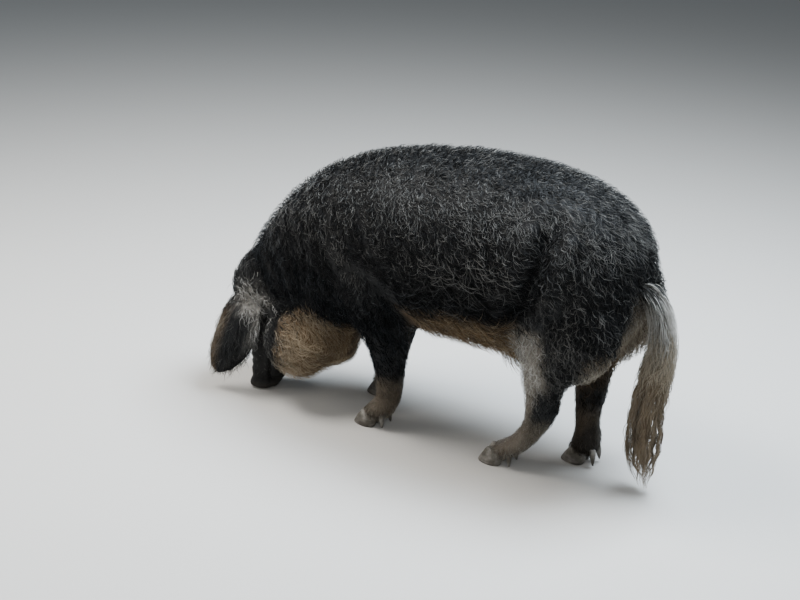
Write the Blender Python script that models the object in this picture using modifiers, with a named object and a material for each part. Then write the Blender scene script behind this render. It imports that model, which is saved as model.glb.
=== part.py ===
"""A swallow-bellied Mangalica pig, life size, standing with its snout on the ground.

The body is lofted as overlapping forms, fused into one skin with a Remesh modifier, and
parted with thin cuts into the pieces a person would name.  The solids reach the tips of
the coat.  Metres, +Z up, head towards -X, the pig's left side towards -Y; the origin is
on the floor under the middle of the whole animal.
"""

import math

import bmesh
import bpy
import numpy as np
from mathutils import Matrix, Vector

GAP = 0.0003  # clearance left between neighbouring pieces
EDGE_ALLOWANCE = 1.4  # keeps that clearance where an offset surface turns a corner
VOXEL = 0.009  # grid that fuses the lofted forms
SMOOTHING_ROUNDS = 6
BODY_FACES = 3600  # triangles of the fused body before it is parted
REACH = 2.0  # size of the half-space cutters, larger than the pig

COLLECTION = "mangalica_pig"
SIDES = {"left": -1.0, "right": 1.0}  # the left side faces -Y

# The trunk and neck, from the rump to the nape: the point on the back and the point on
# the belly or throat (x, z each), half the width, and how far the middle is shifted in y.
TRUNK_STATIONS = (
    (0.770, 0.640, 0.764, 0.480, 0.070, 0.000),  # behind the pelvis
    (0.750, 0.688, 0.744, 0.425, 0.130, 0.000),
    (0.700, 0.746, 0.700, 0.368, 0.182, 0.000),  # rump
    (0.620, 0.793, 0.625, 0.338, 0.210, 0.000),  # hips
    (0.500, 0.825, 0.510, 0.318, 0.224, 0.000),  # loin
    (0.360, 0.832, 0.370, 0.312, 0.232, 0.000),
    (0.220, 0.824, 0.235, 0.312, 0.234, 0.000),  # barrel
    (0.070, 0.802, 0.100, 0.300, 0.226, 0.000),  # chest
    (-0.066, 0.765, -0.005, 0.262, 0.205, -0.004),  # withers
    (-0.180, 0.711, -0.052, 0.210, 0.180, -0.014),  # neck
    (-0.286, 0.621, -0.098, 0.170, 0.155, -0.030),
    (-0.362, 0.518, -0.145, 0.145, 0.130, -0.046),
    (-0.408, 0.435, -0.195, 0.145, 0.108, -0.056),  # nape
)
BELLY_SAG = 0.10  # how much wider a section is low down than high up
TRUNK_SQUARENESS = 2.25

# The head in its own frame: distance along it from the back of the skull, then the
# profile above and below that line, and half the width.
HEAD_PITCH = math.radians(93.0)  # nose down, tucked slightly back towards the feet
HEAD_ROOT = Vector((-0.362, -0.060, 0.3625))
HEAD_LEAN = math.radians(5.0)  # the nose swings a little to the pig's left
HEAD_STATIONS = (
    (-0.050, 0.056, -0.095, 0.085),
    (0.000, 0.090, -0.118, 0.106),  # back of the skull
    (0.050, 0.099, -0.118, 0.112),  # between the ears
    (0.100, 0.088, -0.106, 0.100),  # brow
    (0.145, 0.068, -0.096, 0.084),  # eyes
    (0.190, 0.050, -0.084, 0.067),  # the dish of the face
    (0.240, 0.042, -0.072, 0.054),
    (0.290, 0.040, -0.062, 0.046),
    (0.325, 0.041, -0.050, 0.043),
)
SNOUT_STATIONS = (  # the disc at the end of the nose
    (0.318, 0.034, -0.030, 0.036),
    (0.342, 0.043, -0.035, 0.043),
    (0.356, 0.046, -0.038, 0.046),
    (0.362, 0.044, -0.036, 0.044),
    (0.366, 0.038, -0.031, 0.038),
)
CHIN = (0.300, 0.000, -0.050, 0.052, 0.026, 0.022)
JOWL_CENTRE = (-0.190, 0.074, 0.196)  # x, y away from the head's middle, z
JOWL_RADII = (0.112, 0.074, 0.106)
JOWL_TILT = math.radians(14.0)
THROAT_CENTRE = (-0.135, 0.0, 0.205)
THROAT_RADII = (0.115, 0.100, 0.085)
THROAT_TILT = math.radians(-25.0)
SHEATH_CENTRE = (0.452, 0.0, 0.306)  # the fold of belly skin ahead of the hind legs
SHEATH_RADII = (0.085, 0.044, 0.046)

EYE_RADIUS = 0.0125
EYE_PLACE = (0.150, 0.0735, 0.026)  # along, side, up in the head's frame

# An ear hangs from the side of the poll: x, y away from the head's middle, z, half the
# breadth and half the thickness, from the root to the tip.
EAR_STATIONS = (
    (-0.350, 0.070, 0.326, 0.034, 0.020),
    (-0.358, 0.096, 0.306, 0.048, 0.018),
    (-0.364, 0.118, 0.264, 0.066, 0.014),
    (-0.372, 0.128, 0.210, 0.075, 0.013),
    (-0.392, 0.126, 0.150, 0.070, 0.012),
    (-0.416, 0.118, 0.098, 0.055, 0.011),
    (-0.432, 0.112, 0.066, 0.034, 0.010),
    (-0.441, 0.108, 0.046, 0.012, 0.006),
)
EAR_TURN = math.radians(-6.0)  # its front edge stands off the face
EAR_CUP = 0.012
EAR_POINTS = 10

# A leg's girth from the top down: height, distance from the middle of the body, and its
# half sizes fore-and-aft and sideways.  Above the belly it is the shoulder or the ham.
FRONT_GIRTH = (
    (0.560, 0.125, 0.070, 0.044),  # shoulder
    (0.480, 0.146, 0.104, 0.068),
    (0.400, 0.152, 0.100, 0.070),
    (0.340, 0.146, 0.088, 0.064),  # elbow
    (0.290, 0.134, 0.072, 0.054),
    (0.240, 0.122, 0.056, 0.047),
    (0.190, 0.113, 0.045, 0.043),  # knee
    (0.155, 0.108, 0.041, 0.039),
    (0.110, 0.102, 0.037, 0.037),
    (0.080, 0.099, 0.042, 0.041),  # pastern
    (0.050, 0.097, 0.043, 0.041),
    (0.026, 0.096, 0.032, 0.034),
)
HIND_GIRTH = (
    (0.650, 0.090, 0.060, 0.034),  # hip
    (0.570, 0.112, 0.108, 0.066),
    (0.480, 0.130, 0.136, 0.082),  # ham
    (0.405, 0.136, 0.124, 0.078),
    (0.345, 0.128, 0.100, 0.066),
    (0.295, 0.118, 0.066, 0.053),  # gaskin
    (0.245, 0.110, 0.052, 0.043),
    (0.205, 0.104, 0.048, 0.039),  # hock
    (0.160, 0.098, 0.040, 0.034),
    (0.115, 0.094, 0.037, 0.033),
    (0.080, 0.092, 0.041, 0.039),  # pastern
    (0.050, 0.090, 0.042, 0.040),
    (0.026, 0.090, 0.032, 0.033),
)
# Each leg of the slow walk: its girth, the fore-and-aft place of each of those heights,
# and where the middle of the hoof stands.
LEGS = {
    "front_left": (
        FRONT_GIRTH,
        (0.03, 0.045, 0.066, 0.084, 0.098, 0.104, 0.105, 0.105, 0.102, 0.090, 0.068, 0.047),
        (0.032, -0.104),
    ),
    "front_right": (
        FRONT_GIRTH,
        (0.00, 0.010, 0.014, 0.016, 0.014, 0.010, 0.005, 0.003, 0.000, -0.008, -0.018, -0.026),
        (-0.040, 0.077),
    ),
    "hind_left": (
        HIND_GIRTH,
        (0.63, 0.64, 0.635, 0.618, 0.598, 0.565, 0.562, 0.560, 0.550, 0.526, 0.500, 0.466, 0.440),
        (0.424, -0.086),
    ),
    "hind_right": (
        HIND_GIRTH,
        (0.65, 0.66, 0.656, 0.642, 0.628, 0.617, 0.619, 0.623, 0.624, 0.629, 0.636, 0.631, 0.622),
        (0.608, 0.054),
    ),
}
LEG_MARGIN = 0.026  # how far the cut that frees a leg stands off it
OUTER_MARGIN = 0.090
REGION_POINTS = 14
MIDLINE_CLEARANCE = 0.006  # and how near it comes to the middle of the body
DOME_BASE = {"front": 0.300, "hind": 0.360}  # where that cut starts to close
DOME_TOP = {"front": 0.520, "hind": 0.600}
KNEE_HEIGHT = {"front": 0.178, "hind": 0.215}  # where the lower leg is parted

CLAW_LENGTH = 0.068
CLAW_INNER = 0.013  # half width towards the other claw, and away from it
CLAW_OUTER = 0.019
CLAW_HEIGHT = 0.040
CLAW_SLOPE = 0.006  # the top is that much higher at the toe and lower at the heel
CLAW_RINGS = ((0.0, 0.97, 0.0), (0.12, 1.0, 0.001), (0.55, 0.90, 0.008), (1.0, 0.70, 0.014))
CLAW_POINTS = 9
CLAW_SPREAD = 0.0170  # each claw's distance from the middle of the foot
CLAW_SPLAY = math.radians(5.0)
DEWCLAW_PLACE = (0.054, 0.0175, 0.054)  # behind, beside and above the foot's middle
DEWCLAW_LENGTH = 0.045
DEWCLAW_RADIUS = 0.0105
DEWCLAW_SPLAY = 0.15

# The tail and its hair: x, z, half size across and half size sideways, to the tip.
TAIL_STATIONS = (
    (0.742, 0.565, 0.026, 0.029),
    (0.772, 0.552, 0.029, 0.032),
    (0.796, 0.522, 0.032, 0.035),
    (0.814, 0.476, 0.036, 0.038),
    (0.822, 0.410, 0.042, 0.041),
    (0.815, 0.330, 0.046, 0.043),
    (0.805, 0.250, 0.051, 0.044),
    (0.805, 0.160, 0.050, 0.040),
    (0.810, 0.080, 0.036, 0.031),
    (0.822, 0.012, 0.014, 0.016),
)
SWITCH_TOP = 0.330  # below this height the tail is hair alone

# Planes that part the head, neck and trunk: a point on the back and one on the throat.
NECK_CUT = ((-0.130, 0.750), (0.025, 0.225))
HEAD_CUT = ((-0.425, 0.455), (-0.040, 0.175))

COLOURS = {  # base colour and roughness
    "black_coat": ((0.018, 0.017, 0.018, 1.0), 0.75),
    "pale_coat": ((0.42, 0.31, 0.19, 1.0), 0.80),
    "leg_coat": ((0.13, 0.11, 0.09, 1.0), 0.80),
    "tail_hair": ((0.60, 0.54, 0.43, 1.0), 0.65),
    "horn": ((0.16, 0.15, 0.14, 1.0), 0.60),
    "eye": ((0.03, 0.015, 0.008, 1.0), 0.10),
}


# ---------------------------------------------------------------- modelling helpers
def clear_scene():
    for old in list(bpy.data.objects):
        bpy.data.objects.remove(old)


def material(name):
    if name in bpy.data.materials:
        return bpy.data.materials[name]
    colour, roughness = COLOURS[name]
    made = bpy.data.materials.new(name)
    made.use_nodes = True
    shader = made.node_tree.nodes["Principled BSDF"]
    shader.inputs["Base Color"].default_value = colour
    shader.inputs["Roughness"].default_value = roughness
    shader.inputs["Metallic"].default_value = 0.0
    return made


def catmull_rom(stations, steps):
    """The stations with steps - 1 smooth ones between each pair, number by number."""
    smooth = []
    last = len(stations) - 1
    for i in range(last):
        before, here = stations[max(i - 1, 0)], stations[i]
        after, beyond = stations[i + 1], stations[min(i + 2, last)]
        for step in range(steps):
            t = step / steps
            smooth.append(
                tuple(
                    0.5
                    * (
                        2 * b
                        + (c - a) * t
                        + (2 * a - 5 * b + 4 * c - d) * t**2
                        + (3 * b - a - 3 * c + d) * t**3
                    )
                    for a, b, c, d in zip(before, here, after, beyond)
                )
            )
    smooth.append(tuple(stations[-1]))
    return smooth


def new_object(name, mesh_source):
    mesh = bpy.data.meshes.new(name)
    mesh_source.normal_update()
    bmesh.ops.recalc_face_normals(mesh_source, faces=mesh_source.faces)
    mesh_source.to_mesh(mesh)
    mesh_source.free()
    made = bpy.data.objects.new(name, mesh)
    bpy.context.scene.collection.objects.link(made)
    return made


def loft(name, rings):
    """A closed skin over rings of points, each end shut by a fan."""
    shape = bmesh.new()
    rows = [[shape.verts.new(point) for point in ring] for ring in rings]
    count = len(rows[0])
    for row, following in zip(rows, rows[1:]):
        for i in range(count):
            j = (i + 1) % count
            shape.faces.new((row[i], row[j], following[j], following[i]))
    for row in (rows[0], rows[-1]):
        middle = sum((v.co for v in row), Vector()) / count
        centre = shape.verts.new(middle)
        for i in range(count):
            shape.faces.new((row[i], row[(i + 1) % count], centre))
    bmesh.ops.triangulate(shape, faces=shape.faces)
    return new_object(name, shape)


def oval(centre, up, side, points, squareness=2.0, sag=0.0):
    """A ring round centre: up and side are its half axes, sag widens its lower half."""
    ring = []
    for i in range(points):
        turn = 2 * math.pi * i / points
        rise, spread = math.cos(turn), math.sin(turn)
        power = 2.0 / squareness
        rise = math.copysign(abs(rise) ** power, rise)
        spread = math.copysign(abs(spread) ** power, spread) * (1 - sag * rise)
        ring.append(Vector(centre) + Vector(up) * rise + Vector(side) * spread)
    return ring


def ellipsoid(name, centre, radii, tilt=0.0, segments=24):
    """A stretched ball, tilted about the sideways axis."""
    shape = bmesh.new()
    bmesh.ops.create_uvsphere(shape, u_segments=segments, v_segments=segments // 2, radius=1.0)
    place = (
        Matrix.Translation(centre)
        @ Matrix.Rotation(tilt, 4, "Y")
        @ Matrix.Diagonal((*radii, 1.0))
    )
    shape.transform(place)
    return new_object(name, shape)


def evaluated(thing):
    """Applies the object's modifiers to its mesh."""
    graph = bpy.context.evaluated_depsgraph_get()
    mesh = bpy.data.meshes.new_from_object(thing.evaluated_get(graph))
    thing.modifiers.clear()
    thing.data = mesh
    return thing


def copy_of(thing, name):
    made = thing.copy()
    made.data = thing.data.copy()
    made.name = name
    bpy.context.scene.collection.objects.link(made)
    return made


def grown(thing, distance):
    """A copy whose surface stands off by distance."""
    made = copy_of(thing, thing.name + "_grown")
    offset = made.modifiers.new("offset", "DISPLACE")
    offset.strength = distance
    offset.mid_level = 0.0
    return evaluated(made)


def combine(thing, cutter, operation):
    cut = thing.modifiers.new("cut", "BOOLEAN")
    cut.operation = operation
    cut.solver = "EXACT"
    cut.object = cutter
    return evaluated(thing)


def discard(*things):
    for thing in things:
        bpy.data.objects.remove(thing)


def half_space(name, point, normal, shift=0.0):
    """A large block on the side of the plane that normal points to."""
    shape = bmesh.new()
    bmesh.ops.create_cube(shape, size=REACH)
    normal = Vector(normal).normalized()
    centre = Vector(point) + normal * (REACH / 2 - shift)
    shape.transform(Matrix.Translation(centre) @ normal.to_track_quat("Z", "Y").to_matrix().to_4x4())
    return new_object(name, shape)


def keep_largest(thing):
    """Drops the specks that a cut leaves loose, so that the piece is one body."""
    shape = bmesh.new()
    shape.from_mesh(thing.data)
    unseen = set(shape.verts)
    bodies = []
    while unseen:
        body, edge = set(), {unseen.pop()}
        while edge:
            body |= edge
            edge = {e.other_vert(v) for v in edge for e in v.link_edges} - body
        unseen -= body
        bodies.append(body)
    bodies.sort(key=len)
    for body in bodies[:-1]:
        bmesh.ops.delete(shape, geom=list(body), context="VERTS")
    shape.to_mesh(thing.data)
    shape.free()
    return thing


def part_off(whole, name, region, region_grown):
    """Takes what lies inside region out of whole as a new piece, leaving the gap."""
    piece = combine(copy_of(whole, name), region, "INTERSECT")
    combine(whole, region_grown, "DIFFERENCE")
    discard(region, region_grown)
    keep_largest(whole)
    return keep_largest(piece)


# ---------------------------------------------------------------- the head's own frame
def head_axes():
    """Unit vectors along the head, towards its right side, and out of its forehead."""
    along = Vector((-math.cos(HEAD_PITCH), 0.0, -math.sin(HEAD_PITCH)))
    up = Vector((-math.sin(HEAD_PITCH), 0.0, math.cos(HEAD_PITCH)))
    along = Matrix.Rotation(HEAD_LEAN, 3, up) @ along
    return along, along.cross(up), up


def head_point(distance, side, rise):
    along, right, up = head_axes()
    return HEAD_ROOT + along * distance + right * side + up * rise


def head_middle(height):
    """The sideways place of the head's middle at a height above the floor."""
    along, _, _ = head_axes()
    return HEAD_ROOT.y + along.y * (height - HEAD_ROOT.z) / along.z


def head_loft(name, stations, squareness):
    _, right, up = head_axes()
    rings = []
    for distance, top, bottom, half_width in catmull_rom(stations, 3):
        middle = head_point(distance, 0.0, (top + bottom) / 2)
        rings.append(
            oval(middle, up * (top - bottom) / 2, right * half_width, 24, squareness)
        )
    return loft(name, rings)


# ---------------------------------------------------------------- forms of the body
def trunk():
    rings = []
    for back_x, back_z, belly_x, belly_z, half_width, shift in catmull_rom(TRUNK_STATIONS, 3):
        centre = Vector(((back_x + belly_x) / 2, shift, (back_z + belly_z) / 2))
        up = Vector(((back_x - belly_x) / 2, 0.0, (back_z - belly_z) / 2))
        side = Vector((0.0, half_width, 0.0))
        rings.append(oval(centre, up, side, 36, TRUNK_SQUARENESS, BELLY_SAG))
    return loft("trunk_form", rings)


def chin():
    distance, side, rise, length, width, depth = CHIN
    along, right, up = head_axes()
    shape = bmesh.new()
    bmesh.ops.create_uvsphere(shape, u_segments=16, v_segments=12, radius=1.0)
    turn = Matrix((along * length, right * width, up * depth)).transposed().to_4x4()
    shape.transform(Matrix.Translation(head_point(distance, side, rise)) @ turn)
    return new_object("chin_form", shape)


def jowls_and_throat():
    forms = []
    x, spread, z = JOWL_CENTRE
    for name, sign in SIDES.items():
        place = (x, head_middle(z) + sign * spread, z)
        forms.append(ellipsoid("jowl_" + name, place, JOWL_RADII, JOWL_TILT))
    x, _, z = THROAT_CENTRE
    forms.append(ellipsoid("throat", (x, head_middle(z), z), THROAT_RADII, THROAT_TILT))
    return forms


def leg_centres(girth, reaches, foot):
    """The leg's stations placed on the pig: height, x, y, and the two half sizes."""
    side = math.copysign(1.0, foot[1])
    top, sole = girth[0][0], girth[-1]
    placed = []
    for (height, spread, half_length, half_width), x in zip(girth, reaches):
        share = (top - height) / (top - sole[0])
        y = side * spread + (foot[1] - side * sole[1]) * share
        placed.append((height, x, y, half_length, half_width))
    return catmull_rom(placed, 2)


def leg_form(name, centres):
    rings = [
        oval((x, y, z), (half_length, 0, 0), (0, half_width, 0), 20, 2.1)
        for z, x, y, half_length, half_width in centres
    ]
    return loft(name + "_form", rings)


def leg_region(name, centres, base, top):
    """A closed form round a whole leg, domed inside the trunk, that frees the leg."""
    heights = [centre[0] for centre in reversed(centres)]
    rises = [-0.05] + [z for z in heights[::2] if z < base - 0.03]
    rises += [base + (top - base) * math.sin(math.radians(turn)) for turn in range(0, 90, 21)]
    rings = []
    for z in rises:
        place = [np.interp(z, heights, [c[i] for c in reversed(centres)]) for i in range(1, 5)]
        x, y, half_length, half_width = (float(value) for value in place)
        side = math.copysign(1.0, y)
        outer = abs(y) + half_width + OUTER_MARGIN
        inner = max(abs(y) - half_width - LEG_MARGIN, MIDLINE_CLEARANCE)
        lift = max(z - base, 0.0) / (top - base)
        dome = math.sqrt(1 - lift * lift)
        length = (half_length + LEG_MARGIN) * dome
        width = (outer - inner) / 2 * dome
        centre = (x, side * (outer + inner) / 2, z)
        rings.append(oval(centre, (length, 0, 0), (0, width, 0), REGION_POINTS, 2.2))
    return loft(name, rings)


def whole_body(legs):
    """All forms fused into one smooth skin, cut flat at the floor."""
    forms = [trunk(), head_loft("head_form", HEAD_STATIONS, 2.2)]
    forms.append(head_loft("snout_form", SNOUT_STATIONS, 2.3))
    forms.append(chin())
    forms.append(ellipsoid("sheath", SHEATH_CENTRE, SHEATH_RADII))
    forms += jowls_and_throat()
    forms += [leg_form(name, centres) for name, centres in legs.items()]
    body = forms[0]
    for form in forms[1:]:
        shape = bmesh.new()
        shape.from_mesh(body.data)
        shape.from_mesh(form.data)
        shape.to_mesh(body.data)
        shape.free()
        discard(form)
    fuse = body.modifiers.new("fuse", "REMESH")
    fuse.mode = "VOXEL"
    fuse.voxel_size = VOXEL
    soften = body.modifiers.new("soften", "SMOOTH")
    soften.factor = 0.5
    soften.iterations = SMOOTHING_ROUNDS
    evaluated(body)
    thin_out(body)
    floor = half_space("floor", (0, 0, 0), (0, 0, -1))
    combine(body, floor, "DIFFERENCE")
    discard(floor)
    return keep_largest(body)


def thin_out(body):
    """Collapses the flattest faces first, down to BODY_FACES."""
    triangles = sum(len(face.vertices) - 2 for face in body.data.polygons)
    thin = body.modifiers.new("thin", "DECIMATE")
    thin.ratio = BODY_FACES / triangles
    thin.use_collapse_triangulate = True
    evaluated(body)


# ---------------------------------------------------------------- ears, eyes, claws, tail
def ear(side_name):
    sign = SIDES[side_name]
    breadth_axis = Vector((-math.cos(EAR_TURN), -sign * math.sin(EAR_TURN), 0.0))
    out_axis = Vector((-math.sin(EAR_TURN), sign * math.cos(EAR_TURN), 0.0))
    rings = []
    for x, spread, z, breadth, thickness in EAR_STATIONS:
        centre = Vector((x, head_middle(z) + sign * spread, z))
        ring = []
        for i in range(EAR_POINTS):
            turn = 2 * math.pi * i / EAR_POINTS
            across = math.cos(turn)
            cup = -EAR_CUP * across * across * breadth / EAR_STATIONS[3][3]
            ring.append(
                centre
                + breadth_axis * breadth * across
                + out_axis * (thickness * math.sin(turn) + cup)
            )
        rings.append(ring)
    return loft("ear_" + side_name, rings)


def eye(side_name):
    distance, side, rise = EYE_PLACE
    centre = head_point(distance, SIDES[side_name] * side, rise)
    return ellipsoid("eye_" + side_name, centre, (EYE_RADIUS,) * 3, segments=12)


def claw(name, foot, offset):
    """One main claw: a flat sole pointed at the toe, drawn up to a sloping top."""
    rings = []
    for height, scale, back in CLAW_RINGS:
        ring = []
        for i in range(CLAW_POINTS):
            turn = 2 * math.pi * i / CLAW_POINTS
            toe = math.cos(turn)
            x = -toe * CLAW_LENGTH / 2 * scale + back
            y = math.sin(turn) * scale * (1 - 0.28 * toe)
            y *= CLAW_OUTER if y * offset > 0 else CLAW_INNER
            z = height * (CLAW_HEIGHT + CLAW_SLOPE * toe)
            ring.append(Vector((x, y, z)))
        rings.append(ring)
    made = loft(name, rings)
    splay = Matrix.Rotation(math.copysign(CLAW_SPLAY, -offset), 4, "Z")
    place = Matrix.Translation((foot[0], foot[1] + offset, 0)) @ splay
    made.data.transform(place)
    return made


def dewclaw(name, foot, offset):
    """A small claw behind the foot, pointing down and outwards."""
    rings = []
    for i in range(4):
        t = i / 3
        radius = DEWCLAW_RADIUS * (1.0 - 0.75 * t * t) * (0.75 + 0.25 * min(t * 4, 1))
        centre = Vector((0.008 * t, 0.0, -DEWCLAW_LENGTH * t))
        rings.append(oval(centre, (radius, 0, 0), (0, radius * 0.8, 0), 7))
    made = loft(name, rings)
    behind, beside, above = DEWCLAW_PLACE
    top = (foot[0] + behind, foot[1] + math.copysign(beside, offset), above)
    splay = Matrix.Rotation(math.copysign(DEWCLAW_SPLAY, offset), 4, "X")
    made.data.transform(Matrix.Translation(top) @ splay)
    return made


def tail_form():
    """The tail with its hair, as sections square to its run."""
    rings = []
    for i, (x, z, across, sideways) in enumerate(TAIL_STATIONS):
        ahead = TAIL_STATIONS[min(i + 1, len(TAIL_STATIONS) - 1)]
        behind = TAIL_STATIONS[max(i - 1, 0)]
        run = Vector((ahead[0] - behind[0], 0.0, ahead[1] - behind[1])).normalized()
        up = Vector((-run.z, 0.0, run.x)) * across
        rings.append(oval((x, 0.0, z), up, (0.0, sideways, 0.0), 14))
    return loft("tail_switch", rings)


# ---------------------------------------------------------------- parting the pig
def plane_of(cut):
    """A point on the cut and the direction across it that faces the head."""
    (back_x, back_z), (throat_x, throat_z) = cut
    along = Vector((throat_x - back_x, 0.0, throat_z - back_z))
    return Vector((back_x, 0.0, back_z)), Vector((along.z, 0.0, -along.x))


def cut_by_plane(whole, name, point, normal):
    near = half_space("near", point, normal)
    near_grown = half_space("near_grown", point, normal, GAP)
    return part_off(whole, name, near, near_grown)


def part_legs(body, legs):
    pieces = {}
    for name, centres in legs.items():
        pair = name.split("_")[0]
        region = leg_region("region", centres, DOME_BASE[pair], DOME_TOP[pair])
        upper = part_off(body, name + "_upper", region, grown(region, GAP * EDGE_ALLOWANCE))
        knee = (0.0, 0.0, KNEE_HEIGHT[pair])
        pieces[name + "_lower"] = cut_by_plane(upper, name + "_lower", knee, (0, 0, -1))
        pieces[name + "_upper"] = upper
    return pieces


def fit_into(host, piece):
    """Hollows host to take piece with the gap all round it."""
    clearance = grown(piece, GAP)
    combine(host, clearance, "DIFFERENCE")
    discard(clearance)
    keep_largest(host)


def fit_against(piece, host):
    """Trims from piece what lies inside host, with the gap."""
    clearance = grown(host, GAP)
    combine(piece, clearance, "DIFFERENCE")
    discard(clearance)
    keep_largest(piece)


def claws_of(name, lower_leg):
    foot = LEGS[name][2]
    outwards = math.copysign(CLAW_SPREAD, foot[1])
    made = {}
    for place, offset in (("outer", outwards), ("inner", -outwards)):
        for kind, shape in (("claw", claw), ("dewclaw", dewclaw)):
            piece = shape(f"{name}_{kind}_{place}", foot, offset)
            made[piece.name] = piece
            fit_into(lower_leg, piece)
    return made


def finish(pieces):
    """Puts the pieces in their collection, over the origin, with their materials."""
    home = bpy.data.collections.new(COLLECTION)
    bpy.context.scene.collection.children.link(home)
    corners = [v.co for piece in pieces.values() for v in piece.data.vertices]
    low = [min(c[axis] for c in corners) for axis in range(3)]
    high = [max(c[axis] for c in corners) for axis in range(3)]
    shift = Vector((-(low[0] + high[0]) / 2, -(low[1] + high[1]) / 2, -low[2]))
    for name, piece in pieces.items():
        piece.data.transform(Matrix.Translation(shift))
        piece.name = piece.data.name = name
        for user in list(piece.users_collection):
            user.objects.unlink(piece)
        home.objects.link(piece)
        piece.data.materials.clear()
        piece.data.materials.append(material(finish_of(name)))
        piece.data.shade_smooth()


def finish_of(name):
    if name.startswith("eye"):
        return "eye"
    if "claw" in name:
        return "horn"
    if name.startswith("tail"):
        return "tail_hair"
    return "leg_coat" if name.endswith("_lower") else "black_coat"


def main():
    clear_scene()
    legs = {name: leg_centres(*shape) for name, shape in LEGS.items()}
    body = whole_body(legs)
    pieces = part_legs(body, legs)
    for name in LEGS:
        pieces.update(claws_of(name, pieces[name + "_lower"]))
    neck = cut_by_plane(body, "neck", *plane_of(NECK_CUT))
    head = cut_by_plane(neck, "head", *plane_of(HEAD_CUT))
    pieces.update(trunk=body, neck=neck, head=head)
    for side_name in SIDES:
        pieces["eye_" + side_name] = eye(side_name)
        fit_into(head, pieces["eye_" + side_name])
        pieces["ear_" + side_name] = ear(side_name)
        fit_against(pieces["ear_" + side_name], head)
        fit_against(pieces["ear_" + side_name], neck)
    switch = tail_form()
    fit_against(switch, body)
    tail = cut_by_plane(switch, "tail", (0, 0, SWITCH_TOP), (0, 0, 1))
    pieces.update(tail=tail, tail_switch=switch)
    finish(pieces)


main()
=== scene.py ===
"""The pig's looks: one skin in place of the solids of flesh, and over it a curly coat of solid locks."""

import math

import bmesh
import bpy
import numpy as np
from mathutils import Matrix, Vector
from mathutils.bvhtree import BVHTree


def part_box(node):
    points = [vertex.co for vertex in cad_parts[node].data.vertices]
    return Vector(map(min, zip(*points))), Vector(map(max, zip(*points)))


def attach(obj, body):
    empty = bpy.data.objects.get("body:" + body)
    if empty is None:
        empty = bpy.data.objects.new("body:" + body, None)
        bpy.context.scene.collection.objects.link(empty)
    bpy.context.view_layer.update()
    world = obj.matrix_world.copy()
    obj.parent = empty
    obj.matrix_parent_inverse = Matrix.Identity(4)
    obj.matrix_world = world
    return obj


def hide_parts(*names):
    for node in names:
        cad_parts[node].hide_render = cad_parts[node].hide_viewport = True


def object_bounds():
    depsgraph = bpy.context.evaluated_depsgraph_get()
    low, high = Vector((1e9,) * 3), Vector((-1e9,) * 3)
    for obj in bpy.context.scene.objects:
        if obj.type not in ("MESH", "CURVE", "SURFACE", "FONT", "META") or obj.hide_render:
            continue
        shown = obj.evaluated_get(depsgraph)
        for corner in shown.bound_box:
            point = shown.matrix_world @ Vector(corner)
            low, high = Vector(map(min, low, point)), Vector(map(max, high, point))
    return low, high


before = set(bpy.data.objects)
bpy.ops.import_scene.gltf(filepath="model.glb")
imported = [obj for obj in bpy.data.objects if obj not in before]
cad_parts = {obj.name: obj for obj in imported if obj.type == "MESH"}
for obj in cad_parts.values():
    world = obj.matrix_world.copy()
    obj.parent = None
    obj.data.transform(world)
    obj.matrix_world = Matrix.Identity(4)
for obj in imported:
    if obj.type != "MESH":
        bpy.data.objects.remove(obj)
CAD_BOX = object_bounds()

# ---------------------------------------------------------------- sizes, in metres
SEED = 7
LEG_ENDS = ("front", "hind")
SIDES = ("left", "right")
LEG_NODES = [
    f"{end}_{side}_{half}" for end in LEG_ENDS for side in SIDES for half in ("upper", "lower")
]
BODY_NODES = ["trunk", "neck", "head"] + LEG_NODES
FLESH_NODES = BODY_NODES + ["ear_left", "ear_right", "tail", "tail_switch"]
FLOOR_CLEARANCE = 0.0004

VOXEL = 0.006
SWELL = 0.0009  # the solids are grown by this to close the thin cuts between them
SMOOTHING = {"trunk": 34, "neck": 30, "head": 12, "upper": 12, "lower": 4}

# the head's own frame: its root, and how far the nose points down and to the left
HEAD_PITCH = math.radians(93.0)
HEAD_LEAN = math.radians(5.0)
HEAD_ROOT = np.array((-0.5582, -0.0602, 0.3625))
SNOUT_END = 0.366
EYE_PLACE = (0.150, 0.0735, 0.026)

# depth of the coat over the skin
DEPTHS = {"trunk": 0.017, "neck": 0.017, "head": 0.010, "upper": 0.015, "lower": 0.0030}

SEAT_SWELL = 0.010  # how much fuller the lower rear of the hams is under its short hair
HAM_MIDDLE = (0.548, 0.085, 0.372)  # the fullest place there
HAM_REACH = (0.065, 0.080, 0.075)

# creases of the body, as x and height on the near side; the solids give the place across
NECK_FOLD = ((-0.53, 0.48), (-0.46, 0.42), (-0.39, 0.32))
THROAT_FOLD = ((-0.48, 0.58), (-0.40, 0.48), (-0.36, 0.34))
JOWL_FOLD = ((-0.45, 0.28), (-0.35, 0.33), (-0.22, 0.29))
SHOULDER_FOLD = ((-0.34, 0.57), (-0.27, 0.48), (-0.17, 0.41))
BLADE_FOLD = ((-0.19, 0.62), (-0.13, 0.54), (-0.05, 0.50))
FLANK_FOLD = ((0.37, 0.73), (0.36, 0.62), (0.33, 0.52), (0.29, 0.45))
FOLD_STEPS = 4  # straight runs between two of those places

EAR_STATIONS = (  # x, distance from the head's middle, height, half breadth
    (-0.542, 0.064, 0.334, 0.026),
    (-0.552, 0.092, 0.308, 0.043),
    (-0.560, 0.116, 0.264, 0.060),
    (-0.568, 0.127, 0.210, 0.069),
    (-0.588, 0.126, 0.150, 0.065),
    (-0.611, 0.118, 0.100, 0.050),
    (-0.627, 0.113, 0.070, 0.029),
    (-0.634, 0.110, 0.056, 0.010),
)
EAR_TURN = math.radians(-6.0)
EAR_CUP = 0.012
EAR_THICKNESS = 0.0030  # half of it, at the middle

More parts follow.
